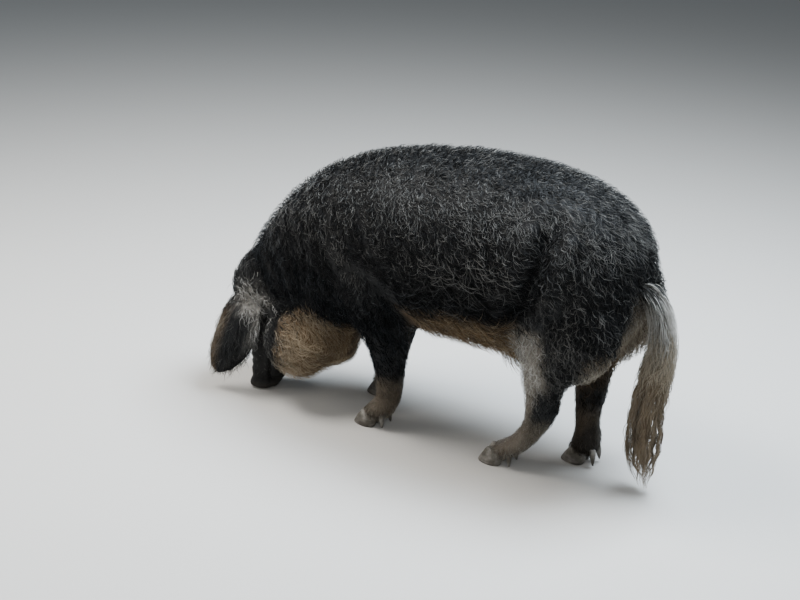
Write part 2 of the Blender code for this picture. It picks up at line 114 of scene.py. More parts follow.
TAIL_CORE = (  # x, height, radius
    (0.528, 0.566, 0.014),
    (0.556, 0.558, 0.013),
    (0.580, 0.542, 0.012),
    (0.601, 0.512, 0.0115),
    (0.614, 0.468, 0.0105),
    (0.620, 0.412, 0.009),
    (0.617, 0.360, 0.006),
    (0.613, 0.325, 0.003),
)
TAIL_ENVELOPE = (  # x, height, half breadth along, half breadth sideways: the hair's outline
    (0.546, 0.566, 0.024, 0.027),
    (0.576, 0.552, 0.029, 0.032),
    (0.600, 0.522, 0.032, 0.035),
    (0.618, 0.476, 0.036, 0.038),
    (0.626, 0.410, 0.042, 0.041),
    (0.619, 0.330, 0.046, 0.043),
    (0.609, 0.250, 0.051, 0.044),
    (0.609, 0.160, 0.050, 0.040),
    (0.614, 0.080, 0.038, 0.032),
    (0.627, 0.004, 0.014, 0.013),
)


# ---------------------------------------------------------------- small helpers
def unit(v):
    return v / np.maximum(np.linalg.norm(v, axis=-1, keepdims=True), 1e-12)


def ease(x, low, high):
    """0 below low, 1 above high, smooth between them."""
    t = np.clip((x - low) / (high - low), 0.0, 1.0)
    return t * t * (3.0 - 2.0 * t)


def ebb(x, low, high):
    """1 below low, 0 above high, smooth between them."""
    return 1 - ease(x, low, high)


def hump(x, middle, width):
    return np.exp(-(((x - middle) / width) ** 2))


def scatter(cells, seed):
    """An even random number from 0 to 1 for each whole-numbered cell."""
    h = (
        cells[:, 0].astype(np.uint64) * np.uint64(73856093)
        ^ cells[:, 1].astype(np.uint64) * np.uint64(19349663)
        ^ cells[:, 2].astype(np.uint64) * np.uint64(83492791)
        ^ np.uint64(seed * 2654435761 % 4294967291)
    )
    h = (h ^ (h >> np.uint64(13))) * np.uint64(1274126177) & np.uint64(0xFFFFFFFF)
    h = (h ^ (h >> np.uint64(16))) & np.uint64(0xFFFFFF)
    return h.astype(float) / float(0xFFFFFF)


def noise(points, size, seed=0):
    """Smooth noise from -1 to 1, the same in every run."""
    p = points / size + 1000.0 + seed * 7.31
    cell = np.floor(p).astype(np.int64)
    f = p - cell
    f = f * f * (3.0 - 2.0 * f)
    total = np.zeros(len(points))
    for i in (0, 1):
        for j in (0, 1):
            for k in (0, 1):
                share = (
                    (f[:, 0] if i else 1 - f[:, 0])
                    * (f[:, 1] if j else 1 - f[:, 1])
                    * (f[:, 2] if k else 1 - f[:, 2])
                )
                total += share * scatter(cell + np.array((i, j, k)), seed)
    return total * 2.0 - 1.0


def cloud(points, size, seed=0):
    return (noise(points, size, seed) + 0.5 * noise(points, size / 2.1, seed + 11)) / 1.5


def curve_through(stations, count):
    """Rows of numbers run smoothly through the stations, as Catmull-Rom does."""
    rows = np.array(stations, float)
    padded = np.vstack([2 * rows[0] - rows[1], rows, 2 * rows[-1] - rows[-2]])
    t = np.linspace(0, len(rows) - 1, count)
    i = np.minimum(t.astype(int), len(rows) - 2)
    f = (t - i)[:, None]
    a, b, c, d = padded[i], padded[i + 1], padded[i + 2], padded[i + 3]
    return 0.5 * (2 * b + (c - a) * f + (2 * a - 5 * b + 4 * c - d) * f**2 + (3 * b - a - 3 * c + d) * f**3)


def at_height(stations, z):
    """The stations' other numbers at each height, by straight lines between them."""
    rows = np.array(stations, float)
    rows = rows[np.argsort(rows[:, 1])]
    others = [i for i in range(rows.shape[1]) if i != 1]
    return [np.interp(z, rows[:, 1], rows[:, i]) for i in others]


def head_axes():
    along = Vector((-math.cos(HEAD_PITCH), 0.0, -math.sin(HEAD_PITCH)))
    up = Vector((-math.sin(HEAD_PITCH), 0.0, math.cos(HEAD_PITCH)))
    along = Matrix.Rotation(HEAD_LEAN, 3, up) @ along
    return np.array(along), np.array(along.cross(up)), np.array(up)


HEAD_ALONG, HEAD_RIGHT, HEAD_UP = head_axes()


def in_head(points):
    """Distance along the head, to its right, and out of its forehead."""
    d = points - HEAD_ROOT
    return d @ HEAD_ALONG, d @ HEAD_RIGHT, d @ HEAD_UP


def from_head(along, side, up):
    return HEAD_ROOT + HEAD_ALONG * along + HEAD_RIGHT * side + HEAD_UP * up


def eye_middle(sign):
    return from_head(EYE_PLACE[0], sign * EYE_PLACE[1], EYE_PLACE[2])


def eye_outward(sign):
    return unit(HEAD_RIGHT * sign * 0.93 + HEAD_UP * 0.37)


def across_ear(x, z):
    """-1 at an ear's fore edge, 1 at its rear one."""
    ear_x, breadth = at_height([(row[0], row[2], row[3]) for row in EAR_STATIONS], z)
    return (x - ear_x) / np.maximum(breadth, 0.01)


def rim_of_jowl(x, z):
    return np.maximum(ease(z, 0.275, 0.31), 1 - ease(x, -0.40, -0.35))


def head_middle(z):
    return HEAD_ROOT[1] + HEAD_ALONG[1] * (z - HEAD_ROOT[2]) / HEAD_ALONG[2]


def path_distance(points, path):
    """Distance to a path of straight runs, and how far along it the nearest place is, 0 to 1."""
    path = np.array(path, float)
    lengths = np.linalg.norm(np.diff(path, axis=0), axis=1)
    best = np.full(len(points), 9.0)
    where = np.zeros(len(points))
    start = 0.0
    for a, b, length in zip(path[:-1], path[1:], lengths):
        t = np.clip(((points - a) @ (b - a)) / length**2, 0, 1)
        d = np.linalg.norm(points - (a + t[:, None] * (b - a)), axis=1)
        nearer = d < best
        best[nearer] = d[nearer]
        where[nearer] = (start + t[nearer] * length) / lengths.sum()
        start += length
    return best, where


# ---------------------------------------------------------------- meshes as arrays
def arrays_of(mesh):
    co = np.empty(len(mesh.vertices) * 3)
    mesh.vertices.foreach_get("co", co)
    mesh.calc_loop_triangles()
    tris = np.empty(len(mesh.loop_triangles) * 3, np.int64)
    mesh.loop_triangles.foreach_get("vertices", tris)
    edges = np.empty(len(mesh.edges) * 2, np.int64)
    mesh.edges.foreach_get("vertices", edges)
    return co.reshape(-1, 3), tris.reshape(-1, 3), edges.reshape(-1, 2)


def normals_of(co, tris):
    face = np.cross(co[tris[:, 1]] - co[tris[:, 0]], co[tris[:, 2]] - co[tris[:, 0]])
    total = np.zeros_like(co)
    for axis in range(3):
        for corner in range(3):
            total[:, axis] += np.bincount(tris[:, corner], face[:, axis], len(co))
    return unit(total)


def relaxed(values, edges, rounds, share):
    """Each row moved towards its neighbours' mean; share is one number or one for each row."""
    count = len(values)
    flat = values.reshape(count, -1).copy()
    degree = np.maximum(np.bincount(edges.ravel(), minlength=count), 1)[:, None]
    share = np.broadcast_to(np.asarray(share, float).reshape(-1, 1), (count, 1))
    for _ in range(rounds):
        mean = np.empty_like(flat)
        for column in range(flat.shape[1]):
            mean[:, column] = np.bincount(edges[:, 0], flat[edges[:, 1], column], count) + np.bincount(
                edges[:, 1], flat[edges[:, 0], column], count
            )
        flat += share * (mean / degree - flat)
    return flat.reshape(values.shape)


def new_mesh(name, co, faces):
    """A mesh object from vertices and triangles or quads given as one array."""
    mesh = bpy.data.meshes.new(name)
    faces = np.asarray(faces)
    corners = faces.shape[1]
    mesh.vertices.add(len(co))
    mesh.vertices.foreach_set("co", np.asarray(co, np.float32).ravel())
    mesh.loops.add(faces.size)
    mesh.loops.foreach_set("vertex_index", faces.ravel().astype(np.int32))
    mesh.polygons.add(len(faces))
    mesh.polygons.foreach_set("loop_start", np.arange(len(faces), dtype=np.int32) * corners)
    mesh.polygons.foreach_set("use_smooth", np.ones(len(faces), bool))
    mesh.update(calc_edges=True)
    return add_object(name, mesh)


def add_object(name, data):
    ob = bpy.data.objects.new(name, data)
    bpy.context.scene.collection.objects.link(ob)
    return ob


def set_attribute(mesh, name, values):
    layer = mesh.attributes.get(name) or mesh.attributes.new(name, "FLOAT", "POINT")
    layer.data.foreach_set("value", np.asarray(values, np.float32))


# ---------------------------------------------------------------- the skin
def grown_copy(nodes, swell):
    """The nodes' solids in one mesh, each grown a little, and which node each face is of."""
    bm = bmesh.new()
    owner = []
    for index, name in enumerate(nodes):
        one = bmesh.new()
        one.from_mesh(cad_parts[name].data)
        bmesh.ops.remove_doubles(one, verts=one.verts, dist=1e-5)
        one.normal_update()
        for v in one.verts:
            v.co += v.normal * swell
        mesh = bpy.data.meshes.new("part")
        one.to_mesh(mesh)
        one.free()
        bm.from_mesh(mesh)
        owner += [index] * (len(bm.faces) - len(owner))
        bpy.data.meshes.remove(mesh)
    whole = bpy.data.meshes.new("flesh")
    bm.to_mesh(whole)
    bm.free()
    return whole, np.array(owner)


def tree_of(co, faces):
    return BVHTree.FromPolygons([tuple(v) for v in co.tolist()], [tuple(f) for f in faces.tolist()])


def tree_of_mesh(mesh):
    return BVHTree.FromPolygons([v.co for v in mesh.vertices], [tuple(p.vertices) for p in mesh.polygons])


def tree_of_solids(nodes):
    solids, _ = grown_copy(nodes, 0.0)
    tree = tree_of_mesh(solids)
    bpy.data.meshes.remove(solids)
    return tree


def remeshed(mesh, size):
    ob = add_object("flesh", mesh)
    voxels = ob.modifiers.new("voxels", "REMESH")
    voxels.mode = "VOXEL"
    voxels.voxel_size = size
    view = bpy.context.evaluated_depsgraph_get()
    result = bpy.data.meshes.new_from_object(ob.evaluated_get(view))
    bpy.data.objects.remove(ob)
    return result


def subdivided(mesh, inside):
    """The mesh with the edges whose two ends are inside cut in half."""
    bm = bmesh.new()
    bm.from_mesh(mesh)
    bm.verts.ensure_lookup_table()
    edges = [e for e in bm.edges if inside[e.verts[0].index] and inside[e.verts[1].index]]
    bmesh.ops.subdivide_edges(bm, edges=edges, cuts=1, use_grid_fill=True)
    bmesh.ops.triangulate(bm, faces=[f for f in bm.faces if len(f.verts) > 4])
    bm.to_mesh(mesh)
    bm.free()
    return mesh


def kind_of(node):
    return node if node in DEPTHS else node.rsplit("_", 1)[1]


def depth_at(co, shares):
    """How far the skin lies under the tips of the coat."""
    depth = sum(shares[:, i] * DEPTHS[kind_of(n)] for i, n in enumerate(BODY_NODES))
    along, _, up = in_head(co)
    on_head = shares[:, BODY_NODES.index("head")]
    muzzle = ease(along, 0.12, 0.24) * ease(up, -0.10, -0.05) * on_head
    depth = depth * (1 - muzzle) + 0.0015 * muzzle
    snout = ease(along, 0.29, 0.335) * on_head
    depth = depth * (1 - snout) + 0.0004 * snout
    for i, n in enumerate(BODY_NODES):  # the coat thins out down the legs
        if n.endswith("_upper"):
            thin = 1 - ease(co[:, 2], 0.19, 0.40)
            depth -= shares[:, i] * thin * (DEPTHS["upper"] - DEPTHS["lower"])
    return np.maximum(depth, 0.0004)


def groove(co, normals, path, width, depth):
    """A crease pressed in along a path, with soft lips on both sides."""
    d, where = path_distance(co, path)
    fade = ease(where, 0.0, 0.15) * ebb(where, 0.85, 1.0) + 0.35
    fade = np.minimum(fade, 1.0)
    press = np.exp(-((d / width) ** 2)) - 0.42 * np.exp(-(((d - 1.9 * width) / width) ** 2))
    return co - normals * (depth * press * fade)[:, None]


BODY_TREE = tree_of_solids(BODY_NODES)


def laid_on_side(path):
    """The path run smoothly over the near side of the body's solids."""
    places = []
    for x, z in curve_through(path, FOLD_STEPS * (len(path) - 1) + 1):
        hit, _, _, _ = BODY_TREE.ray_cast(Vector((x, CAD_BOX[0][1] - 0.1, z)), Vector((0.0, 1.0, 0.0)))
        places.append(tuple(hit))
    return tuple(places)


def mirrored(path):
    return tuple((x, -y, z) for x, y, z in path)


def mirrored_in_head(path):
    out = []
    for p in path:
        a, s, u = in_head(np.array(p))
        out.append(tuple(from_head(a, -s, u)))
    return tuple(out)


FLANK_CREASE = laid_on_side(FLANK_FOLD)
FOLDS = (  # path, its mirror, half width, depth
    (FLANK_CREASE, mirrored, 0.028, 0.025),
    (laid_on_side(SHOULDER_FOLD), mirrored, 0.017, 0.016),
    (laid_on_side(BLADE_FOLD), mirrored, 0.016, 0.013),
    (laid_on_side(NECK_FOLD), mirrored_in_head, 0.017, 0.017),
    (laid_on_side(THROAT_FOLD), mirrored_in_head, 0.015, 0.013),
    (laid_on_side(JOWL_FOLD), mirrored_in_head, 0.012, 0.010),
)


def seat_swell(co):
    """1 at the fullest place of each ham's lower rear, 0 away from it."""
    x, y, z = HAM_MIDDLE
    away = [np.linalg.norm((co - np.array((x, side * y, z))) / HAM_REACH, axis=1) for side in (-1, 1)]
    return np.exp(-(np.minimum(*away) ** 2))


def shape_body(co, normals):
    for path, mirror, width, depth in FOLDS:
        co = groove(co, normals, path, width, depth)
        co = groove(co, normals, mirror(path), width, depth)
    return co + normals * (SEAT_SWELL * seat_swell(co))[:, None]


def shape_head(co, normals, on_head):
    """Snout disc, nostrils, mouth, lips, eye sockets, lids and the folds of the face."""
    along, side, up = in_head(co)
    out = np.zeros_like(co)
    reach = np.abs(side)
    # the disc's raised rim and the pinched neck behind it
    disc_radius = np.hypot(side / 0.043, (up + 0.004) / 0.043)
    rim = hump(along, SNOUT_END - 0.010, 0.007) * ease(disc_radius, 0.6, 0.85)
    behind = hump(along, SNOUT_END - 0.034, 0.009) * ease(disc_radius, 0.5, 0.8)
    out += normals * (0.0022 * rim - 0.0030 * behind)[:, None]
    # folds over the nose
    for k, place in enumerate((0.300, 0.276, 0.250, 0.222)):
        fold = hump(along + 0.06 * reach, place, 0.0045) * ease(up, -0.01, 0.02)
        out -= normals * (0.0020 * fold * (1 - 0.15 * k))[:, None]
        ridge = hump(along + 0.06 * reach, place + 0.010, 0.006) * ease(up, -0.01, 0.02)
        out += normals * (0.0012 * ridge)[:, None]
    # nostrils, pressed into the disc
    for sign in (-1, 1):
        hole = np.hypot((side - sign * 0.0165) / 0.0085, (up + 0.006) / 0.0105)
        face = ease(along, SNOUT_END - 0.012, SNOUT_END - 0.004)
        out -= HEAD_ALONG * (0.013 * ebb(hole, 0.35, 1.0) * face)[:, None]
        out += HEAD_ALONG * (0.0012 * hump(hole, 1.25, 0.25) * face)[:, None]
    # the mouth's line and its lips
    line = np.interp(along, (0.14, 0.19, 0.25, 0.34), (-0.052, -0.056, -0.047, -0.036))
    in_run = ease(along, 0.150, 0.180) * ebb(along, 0.335, 0.350) * ease(reach, 0.008, 0.025)
    out -= normals * (0.0055 * hump(up, line, 0.0032) * in_run)[:, None]
    out += normals * (0.0026 * hump(up, line + 0.010, 0.006) * in_run)[:, None]
    out += normals * (0.0022 * hump(up, line - 0.010, 0.006) * in_run)[:, None]
    for sign in (-1, 1):
        d = co - eye_middle(sign)
        outward = eye_outward(sign)
        lengthwise = d @ HEAD_ALONG
        crosswise = d @ np.cross(outward, HEAD_ALONG)
        near = np.exp(-((np.linalg.norm(d, axis=1) / 0.060) ** 4))
        ring = np.hypot(lengthwise / 0.0150, crosswise / 0.0092)
        # the lids stand round the ball, and the opening between them is sunk to its middle
        height = d @ outward
        lid_top = 0.0115 * np.exp(-((np.maximum(ring - 1.0, 0) / 1.15) ** 2))
        target = np.where(ring < 1.0, -0.004 + 0.0125 * ease(ring, 0.80, 1.0), lid_top - 0.003)
        pull = near * ebb(ring, 1.9, 3.0)
        facing = ease(normals @ outward, -0.2, 0.3)
        out += outward * ((target - height) * pull * facing)[:, None]
        for radius, press in ((2.3, 0.0020), (3.1, 0.0014), (3.9, 0.0010)):
            out -= normals * (press * hump(ring, radius, 0.22) * near)[:, None]
    return co + out * on_head[:, None]


def ear_sheet(sign):
    """A hanging ear: a thin cupped leaf, as vertices and triangles."""
    rows = curve_through(EAR_STATIONS, 44)
    ring_points = 26
    breadth_axis = np.array((-math.cos(EAR_TURN), -sign * math.sin(EAR_TURN), 0.0))
    out_axis = np.array((-math.sin(EAR_TURN), sign * math.cos(EAR_TURN), 0.0))
    turn = 2 * math.pi * np.arange(ring_points) / ring_points
    across = np.cos(turn)
    points = []
    for x, spread, z, breadth in rows:
        centre = np.array((x, head_middle(z) + sign * spread, z))
        cup = -EAR_CUP * across**2 * breadth / 0.064
        fold = 0.0035 * np.sin(across * 5.0 + z * 30) * (breadth / 0.064)
        thick = EAR_THICKNESS * (1 - 0.55 * across**2) * np.sin(turn)
        points.append(
            centre
            + np.outer(breadth * across, breadth_axis)
            + np.outer(thick + cup + fold, out_axis)
        )
    return tube_mesh(np.array(points), sign > 0)


def tube_mesh(rings, flip=False):
    """Rings of points joined into a closed tube."""
    count, around = rings.shape[:2]
    co = rings.reshape(-1, 3)
    first, last = rings[0].mean(0), rings[-1].mean(0)
    co = np.vstack([co, first, last])
    i = np.arange(around)
    j = (i + 1) % around
    tris = []
    for k in range(count - 1):
        a, b = k * around + i, k * around + j
        c, d = a + around, b + around
        tris += [np.stack([a, b, c], 1), np.stack([b, d, c], 1)]
    tris.append(np.stack([j, i, np.full(around, count * around)], 1))
    last_row = (count - 1) * around
    tris.append(np.stack([last_row + i, last_row + j, np.full(around, count * around + 1)], 1))
    tris = np.vstack(tris)
    return co, tris[:, ::-1] if flip else tris


def tail_core():
    rows = curve_through(TAIL_CORE, 40)
    step = np.gradient(rows[:, [0, 1]], axis=0)
    run = unit(step)
    turn = 2 * math.pi * np.arange(16) / 16
    rings = []
    for (x, z, radius), (rx, rz) in zip(rows, run):
        across = np.array((-rz, 0.0, rx))
        rings.append(
            np.array((x, 0.0, z))
            + radius * (np.outer(np.cos(turn), across) + np.outer(np.sin(turn), (0.0, 1.0, 0.0)))
        )
    return tube_mesh(np.array(rings))


def outward_faces(co, tris):
    """Triangles turned so that the closed form's volume is positive."""
    a, b, c = co[tris[:, 0]], co[tris[:, 1]], co[tris[:, 2]]
    volume = (a * np.cross(b, c)).sum()
    return tris if volume > 0 else tris[:, ::-1]


def build_skin():
    """The skin object, with the share that each CAD node has of every vertex."""
    flesh, owner = grown_copy(BODY_NODES, SWELL)
    flesh_tree = tree_of_mesh(flesh)
    mesh = remeshed(flesh, VOXEL)
    co, tris, edges = arrays_of(mesh)
    label = np.array([owner[flesh_tree.find_nearest(Vector(p))[2]] for p in co])
    shares = relaxed(np.eye(len(BODY_NODES))[label], edges, 8, 0.5)
    rounds = sum(shares[:, i] * SMOOTHING[kind_of(n)] for i, n in enumerate(BODY_NODES))
    most = int(max(SMOOTHING.values()))
    along, _, _ = in_head(co)
    rounds *= 1 - 0.7 * ease(along, 0.24, 0.33) * shares[:, BODY_NODES.index("head")]
    co = relaxed(co, edges, most, 0.5 * rounds / most)
    normals = relaxed(normals_of(co, tris), edges, 4, 0.5)
    co = co - unit(normals) * depth_at(co, shares)[:, None]
    co = relaxed(co, edges, 4, 0.4 * rounds / most)
    mesh.vertices.foreach_set("co", co.ravel().astype(np.float32))
    for i, n in enumerate(BODY_NODES):
        set_attribute(mesh, "share_" + n, shares[:, i])
    for place in (0, 1):
        along, side, up = in_head(co)
        head = (np.abs(side) < 0.16) & (up > -0.14) & (along > -0.03)
        eyes = [np.linalg.norm(co - eye_middle(sign), axis=1) < 0.045 for sign in (-1, 1)]
        fine = (along > 0.28) | eyes[0] | eyes[1]
        mesh = subdivided(mesh, head if place == 0 else head & fine)
        co, tris, edges = arrays_of(mesh)
    shares = np.empty((len(co), len(BODY_NODES)))
    for i, n in enumerate(BODY_NODES):
        column = np.empty(len(co), np.float32)
        mesh.attributes["share_" + n].data.foreach_get("value", column)
        shares[:, i] = column
    along, side, up = in_head(co)
    head = (shares[:, BODY_NODES.index("head")] > 0.3).astype(float)
    co = relaxed(co, edges, 6, 0.5 * head)
    normals = normals_of(co, tris)
    co = shape_body(co, normals)
    normals = normals_of(co, tris)
    co = shape_head(co, normals, relaxed(head, edges, 6, 0.5))
    co[:, 2] = np.maximum(co[:, 2], FLOOR_CLEARANCE)
    bpy.data.meshes.remove(mesh)

    extra_names = ["ear_left", "ear_right", "tail"]
    parts = [(co, tris, shares, -1)]
    for k, (more_co, more_tris) in enumerate((ear_sheet(-1), ear_sheet(1), tail_core())):
        parts.append((more_co, outward_faces(more_co, more_tris), None, k))
    all_co, all_tris, all_shares, start = [], [], [], 0
    for part_co, part_tris, part_shares, k in parts:
        both = np.zeros((len(part_co), len(BODY_NODES) + len(extra_names)))
        if part_shares is None:
            both[:, len(BODY_NODES) + k] = 1.0
        else:
            both[:, : len(BODY_NODES)] = part_shares
        all_co.append(part_co)
        all_tris.append(part_tris + start)
        all_shares.append(both)
        start += len(part_co)
    co, tris, shares = np.vstack(all_co), np.vstack(all_tris), np.vstack(all_shares)
    shares /= np.maximum(shares.sum(1, keepdims=True), 1e-6)
    ob = new_mesh("skin", co, tris)
    return ob, co, tris, dict(zip(BODY_NODES + extra_names, shares.T))


def unwrap(ob):
    bpy.context.view_layer.objects.active = ob
    ob.select_set(True)
    ob.data.uv_layers.new(name="OFBake")
    bpy.ops.object.mode_set(mode="EDIT")
    bpy.ops.mesh.select_all(action="SELECT")
    bpy.ops.uv.smart_project(angle_limit=math.radians(60), island_margin=0.003)
    bpy.ops.object.mode_set(mode="OBJECT")
    ob.select_set(False)
    uv = np.empty(len(ob.data.loops) * 2, np.float32)
    ob.data.uv_layers["OFBake"].data.foreach_get("uv", uv)
    return uv.reshape(-1, 3, 2).astype(float)


skin, SKIN_CO, SKIN_TRIS, SHARES = build_skin()
SKIN_UV = unwrap(skin)
SKIN_NORMALS = normals_of(SKIN_CO, SKIN_TRIS)
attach(skin, "root")
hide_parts(*FLESH_NODES)

# ---------------------------------------------------------------- markings, the same for skin and coat
def share(*names):
    return sum(SHARES[n] for n in names)


def legs(end="", half=""):
    return [n for n in LEG_NODES if n.startswith(end) and n.endswith(half)]


def crease_at(p):
    """1 in the folds of the neck, shoulder and flank, 0 away from them."""
    press = np.zeros(len(p))
    for path, mirror, width, _ in FOLDS[:-1]:
        for side_path in (path, mirror(path)):
            d, where = path_distance(p, side_path)
            fade = ease(where, 0.0, 0.15) * (1 - 0.6 * ease(where, 0.85, 1.0))
            press = np.maximum(press, np.exp(-((d / (1.25 * width)) ** 2)) * fade)
    return press


CREASE = crease_at(SKIN_CO)
SEAT = seat_swell(SKIN_CO)


def hind_leg_marks(wobble, hind):
    """The thigh's light fore edge, the grey shank and the brown inner side, each on its own leg."""
    x, y, z = SKIN_CO.T
    near = y < 0

    def of_leg(near_leg, far_leg):
        return np.where(near, near_leg, far_leg)

    middle = of_leg(0.385, 0.425) - 0.10 * (z - 0.36)
    fore = ebb(x + 0.6 * wobble, middle - 0.026, middle + 0.014)
    above_hock = ease(z + 1.2 * wobble, 0.262, 0.310)
    border = of_leg(0.328, 0.388) + 0.20 * (z - 0.2) - 0.4 * wobble
    edge = ebb(x, border, border + 0.027)
    stifle = fore * ebb(z + wobble, 0.415, 0.465) * hind
    stifle = stifle * np.maximum(above_hock, 0.85 * edge)
    rear = of_leg(0.352, 0.440) + 0.9 * (z - 0.10) - wobble
    shank = ebb(z + 1.2 * wobble, 0.140, 0.195) * (1 - 0.75 * ease(x, rear - 0.015, rear + 0.015)) * hind
    turned_in = ease(of_leg(SKIN_NORMALS[:, 1], -SKIN_NORMALS[:, 1]), 0.10, 0.50)
    hock = hump(z, 0.205, 0.055) * ease(x + 0.5 * wobble, of_leg(0.385, 0.432), of_leg(0.410, 0.456)) * hind
    inside = turned_in * ebb(z, 0.40, 0.46) * ease(z, 0.19, 0.26) * hind
    return stifle, edge, above_hock, shank, turned_in, inside * (1 - hock)


def seat_mark(wobble, rear):
    """The tan patch on each ham's lower rear, and the narrow one between them under the tail."""
    x, y, z = SKIN_CO.T
    apart = np.abs(y)
    top = 0.505 - 0.50 * apart
    foot = np.interp(apart, (0.120, 0.180), (0.25, 0.39))
    seat = ease(x + wobble, 0.455, 0.500) * ebb(z + wobble, top - 0.018, top + 0.018)
    seat = seat * ease(z, foot - 0.025, foot + 0.025) * ebb(apart + 0.5 * wobble, 0.155, 0.190) * rear
    between = hump(x, 0.585, 0.05) * ebb(apart, 0.05, 0.08) * ebb(z, 0.50, 0.56) * rear
    return np.maximum(seat, between)


EAR_BASES = ((-0.538, -0.178, 0.303), (-0.538, 0.060, 0.303))
EAR_BASE_REACH = (0.040, 0.05, 0.032)


def ear_base():
    """1 at the middle of each ear's base, 0 away from it."""
    return sum(np.exp(-(((SKIN_CO - place) / EAR_BASE_REACH) ** 2).sum(1)) for place in EAR_BASES)


def pale_curls_and_sheen(blade_highlight, body, ears):
    """Pale curls: bleached by the sun on the flanks, the ham and the ears, with painted sheen on the high
    flank and the crest, and painted highlights on the shoulder and on the ridge behind the flank's fold.
    """
    x, y, z = SKIN_CO.T
    apart = np.abs(y)
    low_flank = hump(z, 0.575, 0.075) * ease(apart, 0.12, 0.20) * ease(x, -0.20, 0.0) * ebb(x, 0.26, 0.34)
    # painted sheen high on the flank
    high_flank_sheen = hump(z, 0.71, 0.055) * hump(x, 0.08, 0.15) * ease(apart, 0.10, 0.18)
    # painted highlight on the lit ridge just behind each flank fold
    ridge = np.zeros(len(x))
    for path in (FLANK_CREASE, mirrored(FLANK_CREASE)):
        d, where = path_distance(SKIN_CO - np.array((0.036, 0.0, 0.0)), path)
        ridge = np.maximum(ridge, hump(d, 0.0, 0.015) * hump(where, 0.45, 0.4))
    # painted highlight on the shoulder's lit rolls
    shoulder_highlight = np.maximum(blade_highlight, 0.6 * hump(z, 0.560, 0.060) * hump(x, -0.355, 0.040))
    ham = hump(z, 0.47, 0.20) * ease(x, 0.335, 0.37) * ebb(x, 0.46, 0.58) * ease(apart, 0.10, 0.18)
    # painted sheen: hair that faces up is painted paler, as if lit from above
    crest = hump(SKIN_NORMALS[:, 2], 0.62, 0.24) * body
    bleach_and_sheen = (
        0.14 + 0.16 * low_flank + 0.42 * high_flank_sheen + 0.60 * shoulder_highlight
        + 0.24 * ham + 0.44 * crest + 0.60 * ridge + 0.10 * ears
    )
    return bleach_and_sheen * (1 + 0.75 * cloud(SKIN_CO, 0.075, 8) + 0.45 * cloud(SKIN_CO, 0.22, 9))


